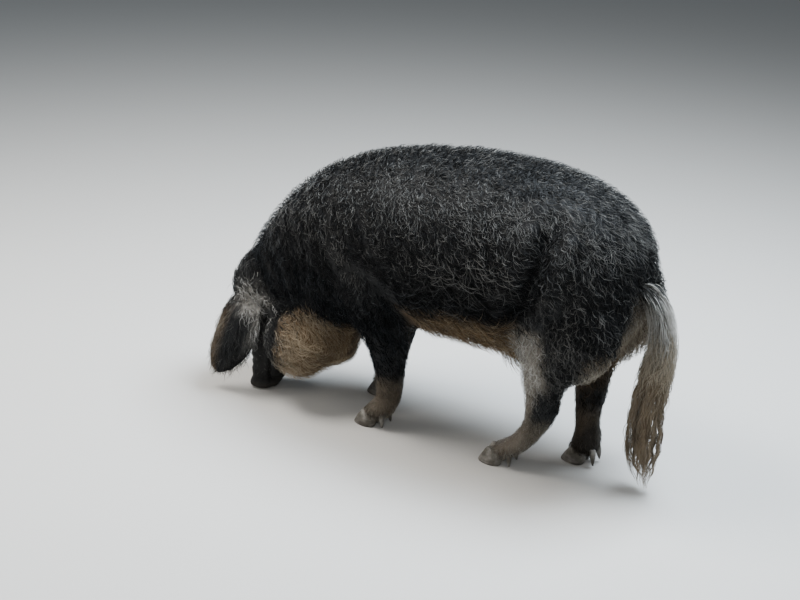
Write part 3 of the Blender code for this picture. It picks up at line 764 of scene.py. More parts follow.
def find_markings():
    """How tan, grey and white each vertex of the skin is, how pale from bleach and painted sheen, how dark
    from dirt and painted shade, and how much painted shade deepens its black, 0 to 1.
    """
    x, _, z = SKIN_CO.T
    wobble = 0.018 * cloud(SKIN_CO, 0.11, 3) + 0.008 * cloud(SKIN_CO, 0.03, 4)
    along, _, _ = in_head(SKIN_CO)
    trunk, neck, head = share("trunk"), share("neck"), share("head")
    front, hind, ears = share(*legs("front")), share(*legs("hind")), share("ear_left", "ear_right")
    # the swallow belly: tan under a line along the flank, and under the throat
    line = 0.440 + 0.018 * ease(x, -0.10, 0.30)
    belly = ebb(z + wobble, line - 0.034, line + 0.010) * trunk
    line = 0.26 + 0.07 * hump(x, -0.34, 0.09) + 0.02 * ease(x, -0.30, -0.20)
    jowl = ebb(z + 0.7 * wobble, line - 0.014, line + 0.010) * ease(x + 0.8 * wobble, -0.436, -0.402)
    jowl = jowl * (neck + head + 0.6 * trunk * (x < -0.1))
    jowl_rim = jowl * rim_of_jowl(x, z)
    # legs: grey-tan below, with a light fore edge to the hind thighs and black round the hocks
    low_front = ebb(z + 1.3 * wobble, 0.150, 0.195) * front
    stifle, edge, above_hock, shank, turned_in, inside = hind_leg_marks(wobble, hind)
    seat = seat_mark(wobble, trunk + hind)
    # the ears: dusted white at the base, brown wisps before, pale ones behind
    across = across_ear(x, z)
    base = ear_base()
    brown = ears * ease(-across, 0.35, 0.85) * ebb(z, 0.25, 0.29)
    pale = ears * ease(across + 4 * wobble, 0.50, 0.85) * hump(z, 0.205, 0.050)
    speckle = 0.60 + 1.7 * cloud(SKIN_CO, 0.013, 5)
    wisps = 0.4 + 1.2 * hump(noise(SKIN_CO, 0.012, 18), 0.4, 0.5)

    tan = belly + jowl + 0.60 * stifle + 0.24 * shank + 0.60 * inside + 0.42 * low_front + 0.70 * seat
    tan = np.clip(np.clip(tan, 0, 1) + 0.45 * brown, 0, 1)

    muzzle = head * ease(along, 0.08, 0.20)
    from_eyes = [np.linalg.norm(SKIN_CO - eye_middle(sign), axis=1) for sign in (-1, 1)]
    lids = head * sum(np.exp(-((away / 0.026) ** 4)) for away in from_eyes)
    # painted shade of the lower legs' wrinkles: bands of lighter and darker grey
    painted_wrinkle_bands = np.sin(z * 560 + 3.0 * noise(SKIN_CO, 0.035, 15)) * ebb(z, 0.17, 0.21)
    grey = 0.58 * low_front + 0.85 * stifle + 0.75 * shank + 0.75 * seat + 0.20 * jowl_rim
    mottle = 1 + 0.6 * cloud(SKIN_CO, 0.030, 14) + 0.35 * painted_wrinkle_bands * (low_front + shank)
    grey = np.clip(np.clip(grey * mottle, 0, 1) + 0.3 * base, 0, 1)
    grey = np.clip(grey + muzzle * (0.04 + 0.20 * ease(along, 0.335, 0.355)) + 0.14 * lids, 0, 1)

    # the stifle's white is partly pale hair and partly a painted sunlit patch
    white = 2.8 * base * speckle + 0.65 * pale * wisps + 0.65 * stifle * (z > 0.26)
    white = np.clip(white + 0.42 * hind * edge * (1 - above_hock), 0, 1)
    white = np.clip(white + 0.75 * share("tail"), 0, 1)

    # mud and dust darken the belly, the jowl's rear and the legs, the insides most; much of it is painted
    # shade, under the body, behind the jowl and between the legs
    dirt_and_shade = 0.66 * belly + 0.55 * jowl * ease(x, -0.36, -0.26) + 0.25 * shank
    dirt_and_shade += low_front * (0.25 + 0.40 * ease(z, 0.07, 0.12)) + 0.35 * stifle * (z < 0.28)
    dirt_and_shade = dirt_and_shade + 0.8 * turned_in * hind * (1 - seat)
    dirt_and_shade = dirt_and_shade + 0.25 * cloud(SKIN_CO, 0.05, 17) * (belly + low_front + shank)

    # painted shade: the black is painted darker and bluer low on the trunk, neck and fore legs, and in the
    # folds, where shade falls
    # painted highlight on the lit roll over the shoulder blade, which the painted shade leaves out
    blade_x = np.interp(z, (0.46, 0.515, 0.58), (-0.160, -0.210, -0.280))
    blade_highlight = hump(x, blade_x, 0.055) * hump(z, 0.515, 0.065)
    painted_shade = ebb(z + wobble, 0.43, 0.61) * ebb(x, 0.31, 0.37) * np.clip(1 - belly - jowl - low_front, 0, 1)
    painted_shade = painted_shade * (trunk + neck + front) * (1 - blade_highlight)
    painted_shade = np.clip(np.maximum(painted_shade, 0.9 * CREASE) * (1 - ears), 0, 1)

    bleach_and_sheen = pale_curls_and_sheen(blade_highlight, trunk + neck, ears)
    bleach_and_sheen += (
        0.50 * jowl + 0.25 * jowl_rim + 0.38 * belly + 0.85 * stifle + 0.55 * shank
        + 0.42 * low_front + 0.45 * brown + 0.5 * seat
    )
    # the folds lose their pale curls: painted shade in the creases
    bleach_and_sheen = (bleach_and_sheen + 0.12 * muzzle) * (1 - 0.9 * CREASE)
    return {
        "tan": tan, "grey": grey, "white": white,
        "bleach_and_sheen": np.clip(bleach_and_sheen, 0.02, 1), "dirt_and_shade": np.clip(dirt_and_shade, 0, 1), "painted_shade": painted_shade,
    }


MARKS = find_markings()
for label, values in MARKS.items():
    set_attribute(skin.data, label, values)


# ---------------------------------------------------------------- the lie of the coat
def lie_of_coat():
    """The direction in which the coat lies at each vertex of the skin."""
    x, y, z = SKIN_CO.T
    n = SKIN_NORMALS
    on_side = np.abs(n[:, 1])
    flow = np.zeros_like(SKIN_CO)

    def add(weight, fx, fy, fz):
        flow[:, 0] += weight * fx
        flow[:, 1] += weight * fy
        flow[:, 2] += weight * fz

    rump = ease(x, 0.30, 0.50)
    out = np.clip(y / 0.09, -1, 1) * (1 - on_side)
    low = ebb(z, 0.50, 0.63) * on_side
    add(share("trunk") * (1 - rump), 1.0, 0.25 * out, (-0.55 * on_side - 0.1) * (1 - 0.9 * low))
    add(share("trunk") * rump, 0.45, 0.35 * out, -0.9)
    add(share("neck"), 0.55, 0.6 * out, -0.75 * on_side)
    add(share(*legs(half="upper")), 0.30, 0.0, -1.0)
    add(share(*legs(half="lower")), 0.12, 0.0, -1.0)
    add(share("tail"), 0.0, 0.0, -1.0)
    _, side, up = in_head(SKIN_CO)
    cheek = share("head") * ease(-up, 0.03, 0.07)
    add(cheek, 0.9, 0.0, -0.35)
    face = -HEAD_ALONG + 0.25 * np.sign(side)[:, None] * HEAD_RIGHT
    flow += (share("head") - cheek)[:, None] * face
    across = np.clip(across_ear(x, z), -1, 1)
    add(share("ear_left", "ear_right"), -0.22 + 0.42 * across, 0.0, -1.0)
    swirl = cloud(SKIN_CO, 0.16, 21) * 0.55 * (1 - 0.6 * low * share("trunk"))
    flow += np.cross(n, flow) * swirl[:, None]
    flow -= n * (flow * n).sum(1, keepdims=True)
    return unit(flow)


FLOW = lie_of_coat()
SKIN_TREE = tree_of(SKIN_CO, SKIN_TRIS)


LEAST_ROOM, MOST_ROOM = 0.0005, 0.034


def room_for_coat():
    """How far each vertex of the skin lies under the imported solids' surface."""
    room = np.empty(len(SKIN_CO))
    for tree, mine in (
        (BODY_TREE, share(*BODY_NODES) > 0.5),
        (tree_of_solids(["ear_left"]), SHARES["ear_left"] > 0.5),
        (tree_of_solids(["ear_right"]), SHARES["ear_right"] > 0.5),
        (tree_of_solids(["tail", "tail_switch"]), SHARES["tail"] > 0.5),
    ):
        rows = np.nonzero(mine)[0]
        for i, spot in zip(rows.tolist(), SKIN_CO[rows].tolist()):
            place, normal, _, _ = tree.find_nearest(spot)
            inward = (place - Vector(spot)).dot(normal)
            room[i] = (place - Vector(spot)).length * (1.0 if inward > 0 else 0.0)
    return np.clip(room * (1 - 0.75 * CREASE) + SEAT_SWELL * SEAT, LEAST_ROOM, MOST_ROOM)


ROOM = room_for_coat()


def roots(density, seed):
    """Even places on the skin, that many to the square metre: triangles and weights of their corners."""
    a, b, c = (SKIN_CO[SKIN_TRIS[:, i]] for i in range(3))
    area = 0.5 * np.linalg.norm(np.cross(b - a, c - a), axis=1)
    expect = area * density[SKIN_TRIS].mean(1)
    rng = np.random.default_rng(SEED + seed)
    reach = np.cumsum(expect)
    count = int(reach[-1])
    marks = (np.arange(count) + rng.random(count)) / count * reach[-1]
    tri = np.minimum(np.searchsorted(reach, marks), len(area) - 1)
    u, v = rng.random(count), rng.random(count)
    over = u + v > 1
    u[over], v[over] = 1 - u[over], 1 - v[over]
    return tri, np.stack([1 - u - v, u, v], 1), rng


def at_roots(values, tri, weights):
    picked = values[SKIN_TRIS[tri]]
    if picked.ndim == 3:
        return (picked * weights[:, :, None]).sum(1)
    return (picked * weights).sum(1)


def nearest_on_skin(points):
    places = np.empty_like(points)
    tris = np.empty(len(points), np.int64)
    for i, p in enumerate(points.tolist()):
        place, _, tri, _ = SKIN_TREE.find_nearest(p)
        places[i] = place
        tris[i] = tri
    return places, tris


def flat_to(direction, normal):
    return unit(direction - normal * (direction * normal).sum(1, keepdims=True))


def turned(direction, normal, angle):
    return direction * np.cos(angle)[:, None] + np.cross(normal, direction) * np.sin(angle)[:, None]


PIECES = []
PIECE_LIMIT = 196000  # triangles in one piece of the coat
RAGGED = 0.35  # how far along the coat a lock may take its colour from, in its own lengths
LIGHT_PER_BLEACH_AND_SHEEN, DUSTED_PER_WHITE, FLYING_SHARE = 1.3, 1.25, 0.06
ROOT_DEPTH = 0.0025  # of a lock's root in the skin
OVER_FLOOR = 0.0006
PATCH = 0.003  # of the map, for one lock
# how a free lock runs: shares along the skin, off it and straight down, to its middle and on
HANGING = (0.25, 0.20, 0.15, 0.10, 0.03, 0.42)
TRAILING = (0.44, 0.10, 0.04, 0.42, 0.03, 0.12)


def coat_piece(name, place, normal, uv, marks, spec, rings, start_direction, bend):
    """One mesh of solid locks. spec holds each lock's length, width, height, curl, turns and hang."""
    length, width, height = spec["length"], spec["width"], spec["height"]
    first = turned(start_direction, normal, 0.5 * bend)
    middle_guess = place + first * (0.5 * length)[:, None]
    middle, tri = nearest_on_skin(middle_guess)
    middle_normal = unit(SKIN_NORMALS[SKIN_TRIS[tri]].mean(1))
    second = flat_to(FLOW[SKIN_TRIS[tri]].mean(1) * 0.6 + first * 0.4, middle_normal)
    second = turned(second, middle_normal, bend)
    end, tri = nearest_on_skin(middle + second * (0.5 * length)[:, None])
    end_normal = unit(SKIN_NORMALS[SKIN_TRIS[tri]].mean(1))
    hang = spec["hang"][:, None]
    drop = np.array((0.18, 0.0, -1.0))
    free = spec["free"]
    free_middle = place + (first * free[0] + normal * free[1] + drop * free[2]) * length[:, None]
    free_end = free_middle + (first * free[3] + normal * free[4] + drop * free[5]) * length[:, None]
    middle = middle * (1 - hang) + free_middle * hang
    end = end * (1 - hang) + free_end * hang
    t = np.linspace(0, 1, rings + 1)[None, :, None]  # the last place is the tip
    a, b, c = place[:, None], middle[:, None], end[:, None]
    line = a * (1 - t) * (1 - 2 * t) + b * 4 * t * (1 - t) + c * t * (2 * t - 1)
    up = unit(
        normal[:, None] * (1 - t) * (1 - 2 * t)
        + middle_normal[:, None] * 4 * t * (1 - t)
        + end_normal[:, None] * t * (2 * t - 1)
    )
    run = unit(np.gradient(line, axis=1))
    side = unit(np.cross(up, run))
    t1 = t[:, :, 0]
    rise = -ROOT_DEPTH + (height[:, None] + ROOT_DEPTH) * (1 - (1 - np.minimum(t1 * 1.25, 1)) ** 1.8)
    rise = rise * (1 - spec["lie"][:, None] * t1**2)
    angle = spec["phase"][:, None] + 2 * math.pi * spec["turns"][:, None] * t1
    radius = spec["curl"][:, None] * ease(t1, 0.0, 0.4)
    radius *= 1 + 0.35 * np.sin(7.0 * t1 + spec["phase"][:, None])
    line = line + up * (rise + radius * np.sin(angle))[:, :, None]
    line = line + side * (radius * np.cos(angle))[:, :, None]
    line[:, :, 2] = np.maximum(line[:, :, 2], OVER_FLOOR + width[:, None])
    lock_mesh(name, line, up, width, uv, marks, spec["vary"])


def lock_mesh(name, line, up, width, uv, marks, vary):
    """Thin three-sided solids along the lines, pointed at their ends, each with its own patch of the map."""
    count, rings = line.shape[0], line.shape[1] - 1
    t1 = np.linspace(0, 1, rings + 1)[None, :]
    run = unit(np.gradient(line, axis=1))
    up = unit(up - run * (up * run).sum(2, keepdims=True))
    side = np.cross(run, up)
    thick = width[:, None] * (1 - t1**1.6) ** 0.8 * (0.75 + 0.25 * ease(t1, 0, 0.3))
    turn = 2 * math.pi * np.arange(3) / 3 + math.pi / 2
    outward = np.cos(turn)[:, None] * side[:, :-1, None] + 0.8 * np.sin(turn)[:, None] * up[:, :-1, None]
    ring = line[:, :-1, None] + thick[:, :-1, None, None] * outward
    co = np.concatenate([ring.reshape(count, -1, 3), line[:, -1:]], axis=1)
    each = rings * 3 + 1
    k = np.arange(rings - 1)[:, None] * 3
    j = np.arange(3)[None, :]
    n = (j + 1) % 3
    quads = np.stack([k + j, k + n, k + 3 + n, k + 3 + j], -1).reshape(-1, 4)
    halves = np.vstack([quads[:, [0, 1, 2]], quads[:, [0, 2, 3]]])
    last = (rings - 1) * 3
    tip = last + np.array([[0, 1, 3], [1, 2, 3], [2, 0, 3]])
    root = np.array([[0, 2, 1]])
    lock = np.vstack([halves, tip, root])
    tris = (lock[None] + (np.arange(count) * each)[:, None, None]).reshape(-1, 3)
    ob = new_mesh(name, co.reshape(-1, 3), tris)
    # each lock's own small patch on the skin's map
    across = np.concatenate([np.tile(np.array((0.0, 0.5, 1.0)), rings), [0.5]]) - 0.5
    tip_share = np.concatenate([np.repeat(np.arange(rings) / rings, 3), [1.0]])
    down = tip_share - 0.5
    patch = np.stack([across, down], 1) * PATCH
    corner_uv = uv[:, None, :] + patch[lock.ravel()][None]
    layer = ob.data.uv_layers.new(name="OFBake")
    layer.data.foreach_set("uv", np.clip(corner_uv, 0, 1).astype(np.float32).ravel())
    for label, values in marks.items():
        set_attribute(ob.data, label, np.repeat(values, each))
    set_attribute(ob.data, "vary", np.repeat(vary, each))
    set_attribute(ob.data, "tip", np.tile(tip_share, count))
    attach(ob, "root")
    PIECES.append(ob)


def grow(name, where, rings, seed, hang=None, **table):
    """A coat over the skin where the weight is above nothing; its numbers may vary over the skin."""
    full = table["density"] * where
    tri, weights, rng = roots(full, seed)
    place = at_roots(SKIN_CO, tri, weights)
    normal = unit(at_roots(SKIN_NORMALS, tri, weights))
    uv = (SKIN_UV[tri] * weights[:, :, None]).sum(1)
    direction = flat_to(at_roots(FLOW, tri, weights), normal)
    count = len(tri)

    def number(key):
        value = table[key]
        if isinstance(value, np.ndarray):
            return at_roots(value, tri, weights)
        return np.full(count, float(value))

    clump = noise(place, table.get("clump", 0.022), seed + 31)
    clump2 = noise(place, table.get("clump", 0.022), seed + 57)
    jitter = rng.random((count, 4))
    spec = {
        "length": number("length") * (0.7 + 0.6 * jitter[:, 0]),
        "width": number("width") * (0.65 + 0.7 * jitter[:, 1]) * 1.0,
        "curl": number("curl") * (0.6 + 0.7 * jitter[:, 3]),
        "turns": number("turns") * np.where(clump2 + 0.5 * (jitter[:, 0] - 0.5) > 0, 1, -1),
        "phase": 3.2 * clump + 1.6 * rng.random(count),
        "lie": number("lie"),
        "hang": np.zeros(count) if hang is None else at_roots(hang, tri, weights),
    }
    room = at_roots(ROOM, tri, weights) * number("reach")
    spec["height"] = np.maximum(room * (0.30 + 0.70 * jitter[:, 2] ** 0.8) - 0.8 * spec["curl"], 0.25 * room)
    bend = 0.9 * clump2 + 0.5 * rng.normal(size=count) * table.get("unruly", 1.0)
    stray = spec["length"] * rng.normal(size=count) * RAGGED
    _, marked = nearest_on_skin(place - direction * stray[:, None])
    marks = {label: values[SKIN_TRIS[marked]].mean(1) for label, values in MARKS.items()}
    # pale locks, from bleach and from painted sheen and highlights
    light = rng.random(count) < LIGHT_PER_BLEACH_AND_SHEEN * marks["bleach_and_sheen"]
    marks["bleach_and_sheen"] = np.where(light, 0.25 + 0.60 * rng.random(count), 0.10 * rng.random(count))
    dusted = rng.random(count) < DUSTED_PER_WHITE * marks["white"]
    marks["white"] = np.where(dusted, 0.45 + 0.55 * rng.random(count), 0.10 * marks["white"])
    spec["width"] = spec["width"] * np.where(light, 0.62, 1.08)
    spec["length"] = spec["length"] * (1 - 0.42 * marks["white"])
    raised = np.maximum(spec["height"], room * 0.86 - 0.5 * spec["curl"])
    spec["height"] = np.where(light, raised, spec["height"])
    flying = rng.random(count) < FLYING_SHARE
    spec["length"] = spec["length"] * np.where(flying, 1.25, 1.0)
    spec["height"] = spec["height"] + np.where(flying, 0.15 * room, 0.0)
    spec["width"] = spec["width"] * np.where(flying, 0.6, 1.0)
    tuft = 0.5 + 0.5 * noise(place, 0.030, seed + 77)
    spec["vary"] = np.clip(0.60 * rng.random(count) + 0.55 * tuft - 0.07, 0, 1)
    most = PIECE_LIMIT // (6 * rings - 2)
    pieces = max(1, math.ceil(count / most))
    for k in range(pieces):
        pick = slice(k * count // pieces, (k + 1) * count // pieces)
        piece_marks = {label: values[pick] for label, values in marks.items()}
        piece_spec = {key: value[pick] for key, value in spec.items()}
        piece_spec["free"] = table.get("free", HANGING)
        piece_name = name if pieces == 1 else f"{name}_{k + 1}"
        coat_piece(
            piece_name, place[pick], normal[pick], uv[pick], piece_marks, piece_spec,
            rings, direction[pick], bend[pick],
        )


def grow_coat():
    x, y, z = SKIN_CO.T
    n = SKIN_NORMALS
    along, _, up = in_head(SKIN_CO)
    trunk, neck, head = share("trunk"), share("neck"), share("head")
    tan = MARKS["tan"]
    upper = share(*legs(half="upper"))
    lower = share(*legs(half="lower"))
    crown = ease(along, 0.02, 0.12)  # 1 on the face proper, 0 on the poll
    face = head * np.maximum(crown * ease(up, -0.085, -0.04), ease(along, 0.20, 0.26))
    disc = ease(along, SNOUT_END - 0.045, SNOUT_END - 0.030) * head
    jowl = np.clip((head - face) * tan + neck * tan, 0, 1)
    jowl_rim = rim_of_jowl(x, z) * jowl
    low_leg = np.clip(lower + upper * ebb(z, 0.19, 0.23), 0, 1)
    underside = ease(-n[:, 2], 0.35, 0.8) * trunk
    rump = ease(x, 0.28, 0.42) * ease(z, 0.30, 0.5)
    flank = ease(np.abs(n[:, 1]), 0.5, 0.9) * ebb(z, 0.52, 0.66) * trunk * (1 - rump)
    thin_leg = upper * ebb(z, 0.24, 0.40)
    coronet = 1 - ease(z, 0.050, 0.080)
    body = np.clip(trunk + neck + (head - face) + upper, 0, 1) * (1 - jowl) * (1 - low_leg)
    body = np.clip(body - 0.9 * share("tail") - share("ear_left", "ear_right"), 0, 1)
    border = np.interp(x, (-0.60, -0.12, 0.10, 0.34, 0.52), (0.30, 0.42, 0.60, 0.64, 0.60))
    border += 0.02 * cloud(SKIN_CO, 0.08, 61)
    short = ease(z, border - 0.035, border + 0.035)  # fine short curls above, longer straighter hair below
    body = body * (1 - 0.45 * underside)
    grow(
        "coat_back", body * short, 4, 1,
        density=25600.0, length=0.026 + 0.007 * rump + 0.008 * neck, width=0.00112, reach=1.12,
         curl=0.0028 + 0.0012 * rump, turns=0.85 + 0.15 * rump, lie=0.05, clump=0.017,
    )
    grow(
        "coat_flank", body * (1 - short), 5, 11,
        density=18300.0, length=0.044 + 0.018 * flank - 0.014 * thin_leg, width=0.00138, reach=1.12,
         curl=0.0046 + 0.0012 * rump - 0.0016 * flank - 0.0016 * thin_leg,
         turns=1.2 + 0.4 * rump - 0.45 * flank, lie=0.05, clump=0.024,
        hang=0.30 * SEAT * ease(-n[:, 2], 0.0, 0.5),
    )
    grow(
        "coat_jowl", jowl, 7, 2,
        density=27000.0, length=0.052, width=0.00110, reach=1.12, curl=0.0036 + 0.0030 * jowl_rim,
         turns=0.8 + 0.8 * jowl_rim, lie=0.05, clump=0.035,
        hang=0.25 * ease(-n[:, 2], 0.0, 0.7),
    )
    fringe = ease(-n[:, 2], 0.05, 0.5) * trunk * tan
    sheath = hump(x, 0.215, 0.045) * hump(y, 0.0, 0.050) * fringe
    grow(
        "coat_belly", fringe * (1 + 1.2 * sheath), 6, 3,
        density=8900.0, length=0.046 + 0.030 * sheath, width=0.00105, reach=1.0, curl=0.0030,
         turns=0.9, lie=0.0, clump=0.03,
        hang=0.32 + 0.35 * sheath,
    )
    grow(
        "coat_face", face * (1 - disc), 4, 4,
        density=21500.0, length=0.016 + 0.010 * ease(-along, -0.20, -0.05), width=0.0009, reach=1.1,
         curl=0.0010, turns=0.5, lie=0.1, clump=0.02,
    )
    grow(
        "coat_legs", low_leg * ease(z, 0.030, 0.042) * (1 + 0.7 * coronet), 4, 5,
        density=25500.0, length=0.019 + 0.012 * ease(z, 0.10, 0.20) + 0.008 * coronet, width=0.00085,
         reach=1.5 + 1.2 * coronet, curl=0.0016, turns=0.6, lie=0.0, clump=0.016,
        hang=0.42 * coronet,
    )
    # the ears
    ears = share("ear_left", "ear_right")
    edge = ease(np.abs(across_ear(x, z)), 0.60, 0.98)
    low_edge = 1 - ease(z, 0.065, 0.110)
    grow(
        "coat_ears", ears * (1 + 0.8 * edge), 6, 6,
        density=16500.0, length=0.038 + 0.010 * edge - 0.008 * low_edge, width=0.00085, reach=1.1,
         curl=0.0026 + 0.0022 * edge, turns=0.9, lie=0.06, clump=0.022, free=TRAILING, unruly=0.8,
        hang=np.clip(0.10 + 0.50 * edge + 0.10 * low_edge, 0, 0.8),
    )


# ---------------------------------------------------------------- the tail's long hair
def tail_frames(s):
    """Middle, half breadths and across direction of the tail's outline at parts s of its run, 0 to 1."""
    rows = curve_through(TAIL_ENVELOPE, 120)
    step = np.linalg.norm(np.diff(rows[:, :2], axis=0), axis=1)
    run = np.concatenate([[0], np.cumsum(step)]) / step.sum()
    x, z, a, b = (np.interp(s, run, rows[:, i]) for i in range(4))
    slope = unit(np.gradient(rows[:, :2], axis=0))
    dx, dz = np.interp(s, run, slope[:, 0]), np.interp(s, run, slope[:, 1])
    return x, z, a, b, dx, dz


TAIL_WISPS = 24
TAIL_SHORTEST, TAIL_LONGEST = 0.16, 0.30  # of the tail's whole run
TAIL_OVER_FLOOR = 0.003


def grow_tail():
    """Long wavy strands from the tail's core, fluffy above and gathered in wisps with gaps below."""
    rng = np.random.default_rng(SEED + 90)
    count, rings = ((3000, 10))
    wisp = np.floor(rng.random(count) * TAIL_WISPS)

    def of_wisp(seed):
        return scatter(np.stack([wisp, wisp * 3, wisp * 7], 1).astype(np.int64), seed)

    fluff = rng.random(count) < 0.42  # shorter hair round the core, above the wisps
    length = TAIL_SHORTEST + (TAIL_LONGEST - TAIL_SHORTEST) * rng.random(count)
    start = np.where(fluff, 0.46 * rng.random(count) ** 1.3, 0.16 + 0.64 * rng.random(count))
    length = np.where(fluff, 0.55 * length + 0.10 * start, length)
    stop = np.minimum(start + length, 0.85 + 0.15 * of_wisp(2) + 0.02 * rng.normal(size=count))
    stop = np.minimum(stop, 0.998)
    start = np.minimum(start, stop - 0.09)
    t = np.linspace(0, 1, rings + 1)[None, :]
    s = start[:, None] + (stop - start)[:, None] * t
    x, z, a, b, dx, dz = tail_frames(s)
    loose = 2 * math.pi * rng.random(count)
    gathered = wisp * 2.399 + 0.13 * rng.normal(size=count)
    turn = (loose - gathered + math.pi) % (2 * math.pi) - math.pi
    pull = np.where(fluff[:, None], 0.5 * ease(s, 0.25, 0.55), ease(s, 0.20, 0.52))
    angle = gathered[:, None] + turn[:, None] * (1 - pull)
    fluff_wide = 0.62 + 0.40 * rng.random(count)
    wisp_wide = 0.20 + 0.78 * of_wisp(4) ** 0.55 + 0.035 * rng.normal(size=count)
    wide = np.clip(np.where(fluff, fluff_wide, wisp_wide), 0.15, 1.03)
    core = 0.30 * ebb(start, 0.38, 0.60)[:, None]
    core = np.where(start[:, None] > 0.5, wide[:, None], core)
    rho = core + (wide[:, None] - core) * ease(t, 0.0, 0.38)
    wave = (0.0012 + 0.0030 * of_wisp(6) + 0.0008 * rng.random(count))[:, None]
    wave = wave * ease(t, 0.05, 0.3) * ease(s, 0.15, 0.4)
    beat = 2 * math.pi * s * (7.0 + 7.0 * of_wisp(9))[:, None]
    beat = beat + (wisp * 2.1 + rng.random(count) * 0.9)[:, None]
    apart = 1 + 0.16 * np.sin(wisp[:, None] * 5.3 + 11.0 * s) * ease(s, 0.45, 0.9)
    across = np.cos(angle) * a * rho * apart + wave * np.cos(beat)
    sideways = np.sin(angle) * b * rho * apart + wave * np.sin(beat * 0.9 + 1.0)
    line = np.stack([x - dz * across, sideways, z + dx * across], -1)
    line[:, :, 2] = np.maximum(line[:, :, 2], TAIL_OVER_FLOOR)
    _, tri = nearest_on_skin(line[:, 0])
    uv = SKIN_UV[tri].mean(1)
    width = (0.00060 + 0.00075 * rng.random(count)) * np.where(fluff, 0.9, 1.0)
    middle = start + 0.5 * (stop - start) + 0.03 * rng.normal(size=count)
    high, cream = 1 - ease(middle, 0.24, 0.34), 1 - ease(middle, 0.34, 0.50)
    black_root = 1 - ease(start + 0.02 * rng.normal(size=count), 0.015, 0.06)
    tint = of_wisp(12)
    patchy = 0.5 + 0.5 * noise(line[:, rings // 2], 0.016, 41)
    grey = np.clip(0.02 + 0.22 * rng.random(count), 0, 1)
    white = np.clip(0.04 + 0.88 * high + 0.12 * (cream - high), 0, 1)
    bleach_and_sheen = np.clip(0.12 + 0.72 * cream + 0.85 * rng.random(count) * (0.35 + 0.65 * tint), 0, 1)
    dirt_and_shade = np.clip(0.18 * (1 - cream) * (0.4 + 0.6 * rng.random(count)), 0, 1)
    marks = {
        "tan": np.clip(1.0 - 0.25 * tint, 0, 1) * (1 - black_root), "grey": grey * (1 - black_root),
        "white": white * (1 - black_root), "bleach_and_sheen": bleach_and_sheen * (1 - 0.8 * black_root),
        "dirt_and_shade": dirt_and_shade, "painted_shade": np.zeros(count),
    }
    vary = 0.9 * (0.35 * of_wisp(15) + 0.35 * rng.random(count) + 0.4 * patchy) - 0.05
    # painted light and shade: the tail's upper hair is lighter on one side and darker on the other
    vary = np.clip(vary + 0.22 * high * np.cos(angle[:, rings // 2] - 0.6), 0, 1)
    up = unit(line[:, 3] - np.stack([x, 0 * x, z], -1)[:, 3] + 1e-5)
    up = np.broadcast_to(up[:, None], line.shape).copy()
    pieces = 2
    for k in range(pieces):
        pick = slice(k * count // pieces, (k + 1) * count // pieces)
        name = "coat_tail" if pieces == 1 else f"coat_tail_{k + 1}"
        piece_marks = {label: values[pick] for label, values in marks.items()}
        lock_mesh(name, line[pick], up[pick], width[pick], uv[pick], piece_marks, vary[pick])


# ---------------------------------------------------------------- claws and eyes
CLAW_AROUND, CLAW_UP = 40, 18
HORN_RIDGES = 7


def fitted(co, node):
    """The points stretched and moved to fill the node's own box."""
    low, high = (np.array(corner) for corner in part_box(node))
    mine_low, mine_high = co.min(0), co.max(0)
    return low + (co - mine_low) * (high - low) / (mine_high - mine_low)


def rotated(a, b, angle):
    return a * math.cos(angle) - b * math.sin(angle), a * math.sin(angle) + b * math.cos(angle)


def horn_shape(node, dew):
    """A claw with a rounded toe, a bulb at the heel and growth ridges; or a small hanging dewclaw."""
    turn = 2 * math.pi * np.arange(CLAW_AROUND) / CLAW_AROUND
    outer = "outer" in node
    side = 1.0 if ("right" in node) == outer else -1.0  # which way the claw's outer wall faces
    splay = math.radians(5.0) * -side
    rings = []
    for h in np.linspace(0.0, 1.0, CLAW_UP):
        toe = np.cos(turn)
        if dew:
            size = (1 - 0.75 * h**2) * (0.78 + 0.22 * min(h * 5, 1)) * (1 + 0.035 * math.sin(h * 26))
            x, y, z = size * toe + 0.75 * h, 0.8 * size * np.sin(turn), np.full(CLAW_AROUND, -4.3 * h)
            rings.append(np.stack([x, y, z], 1))
            continue
        size = np.interp(h, (0.0, 0.04, 0.12, 0.55, 1.0), (0.945, 0.985, 1.0, 0.90, 0.70))
        ridges = 1 + 0.010 * np.sin(2 * math.pi * HORN_RIDGES * (h + 0.10 * toe)) * ease(h, 0.1, 0.3)
        back = np.interp(h, (0.0, 0.12, 0.55, 1.0), (0.0, 0.001, 0.008, 0.014))
        x = -toe * 0.034 * size * ridges + back
        y = np.sin(turn) * size * ridges * (1 - 0.28 * toe)
        y = y * np.where(y * side > 0, 0.019, 0.013)
        z = h * (0.040 + 0.006 * toe)
        rings.append(np.stack([*rotated(x, y, splay), z], 1))
    rings = np.array(rings)
    if dew:
        rings = rings[::-1]
        y, z = rotated(rings[:, :, 1], rings[:, :, 2], 0.15 * side)
        rings = np.stack([rings[:, :, 0], y, z], -1)
    co, tris = tube_mesh(rings)
    return fitted(co, node), outward_faces(co, tris)


def add_claws():
    for name in sorted(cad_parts):
        if "claw" not in name:
            continue
        co, tris = horn_shape(name, "dewclaw" in name)
        ob = new_mesh("horn_" + name, co, tris)
        low, high = co[:, 2].min(), co[:, 2].max()
        set_attribute(ob.data, "up", (co[:, 2] - low) / (high - low))
        ob.data.materials.append(HORN)
        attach(ob, "root")
        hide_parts(name)


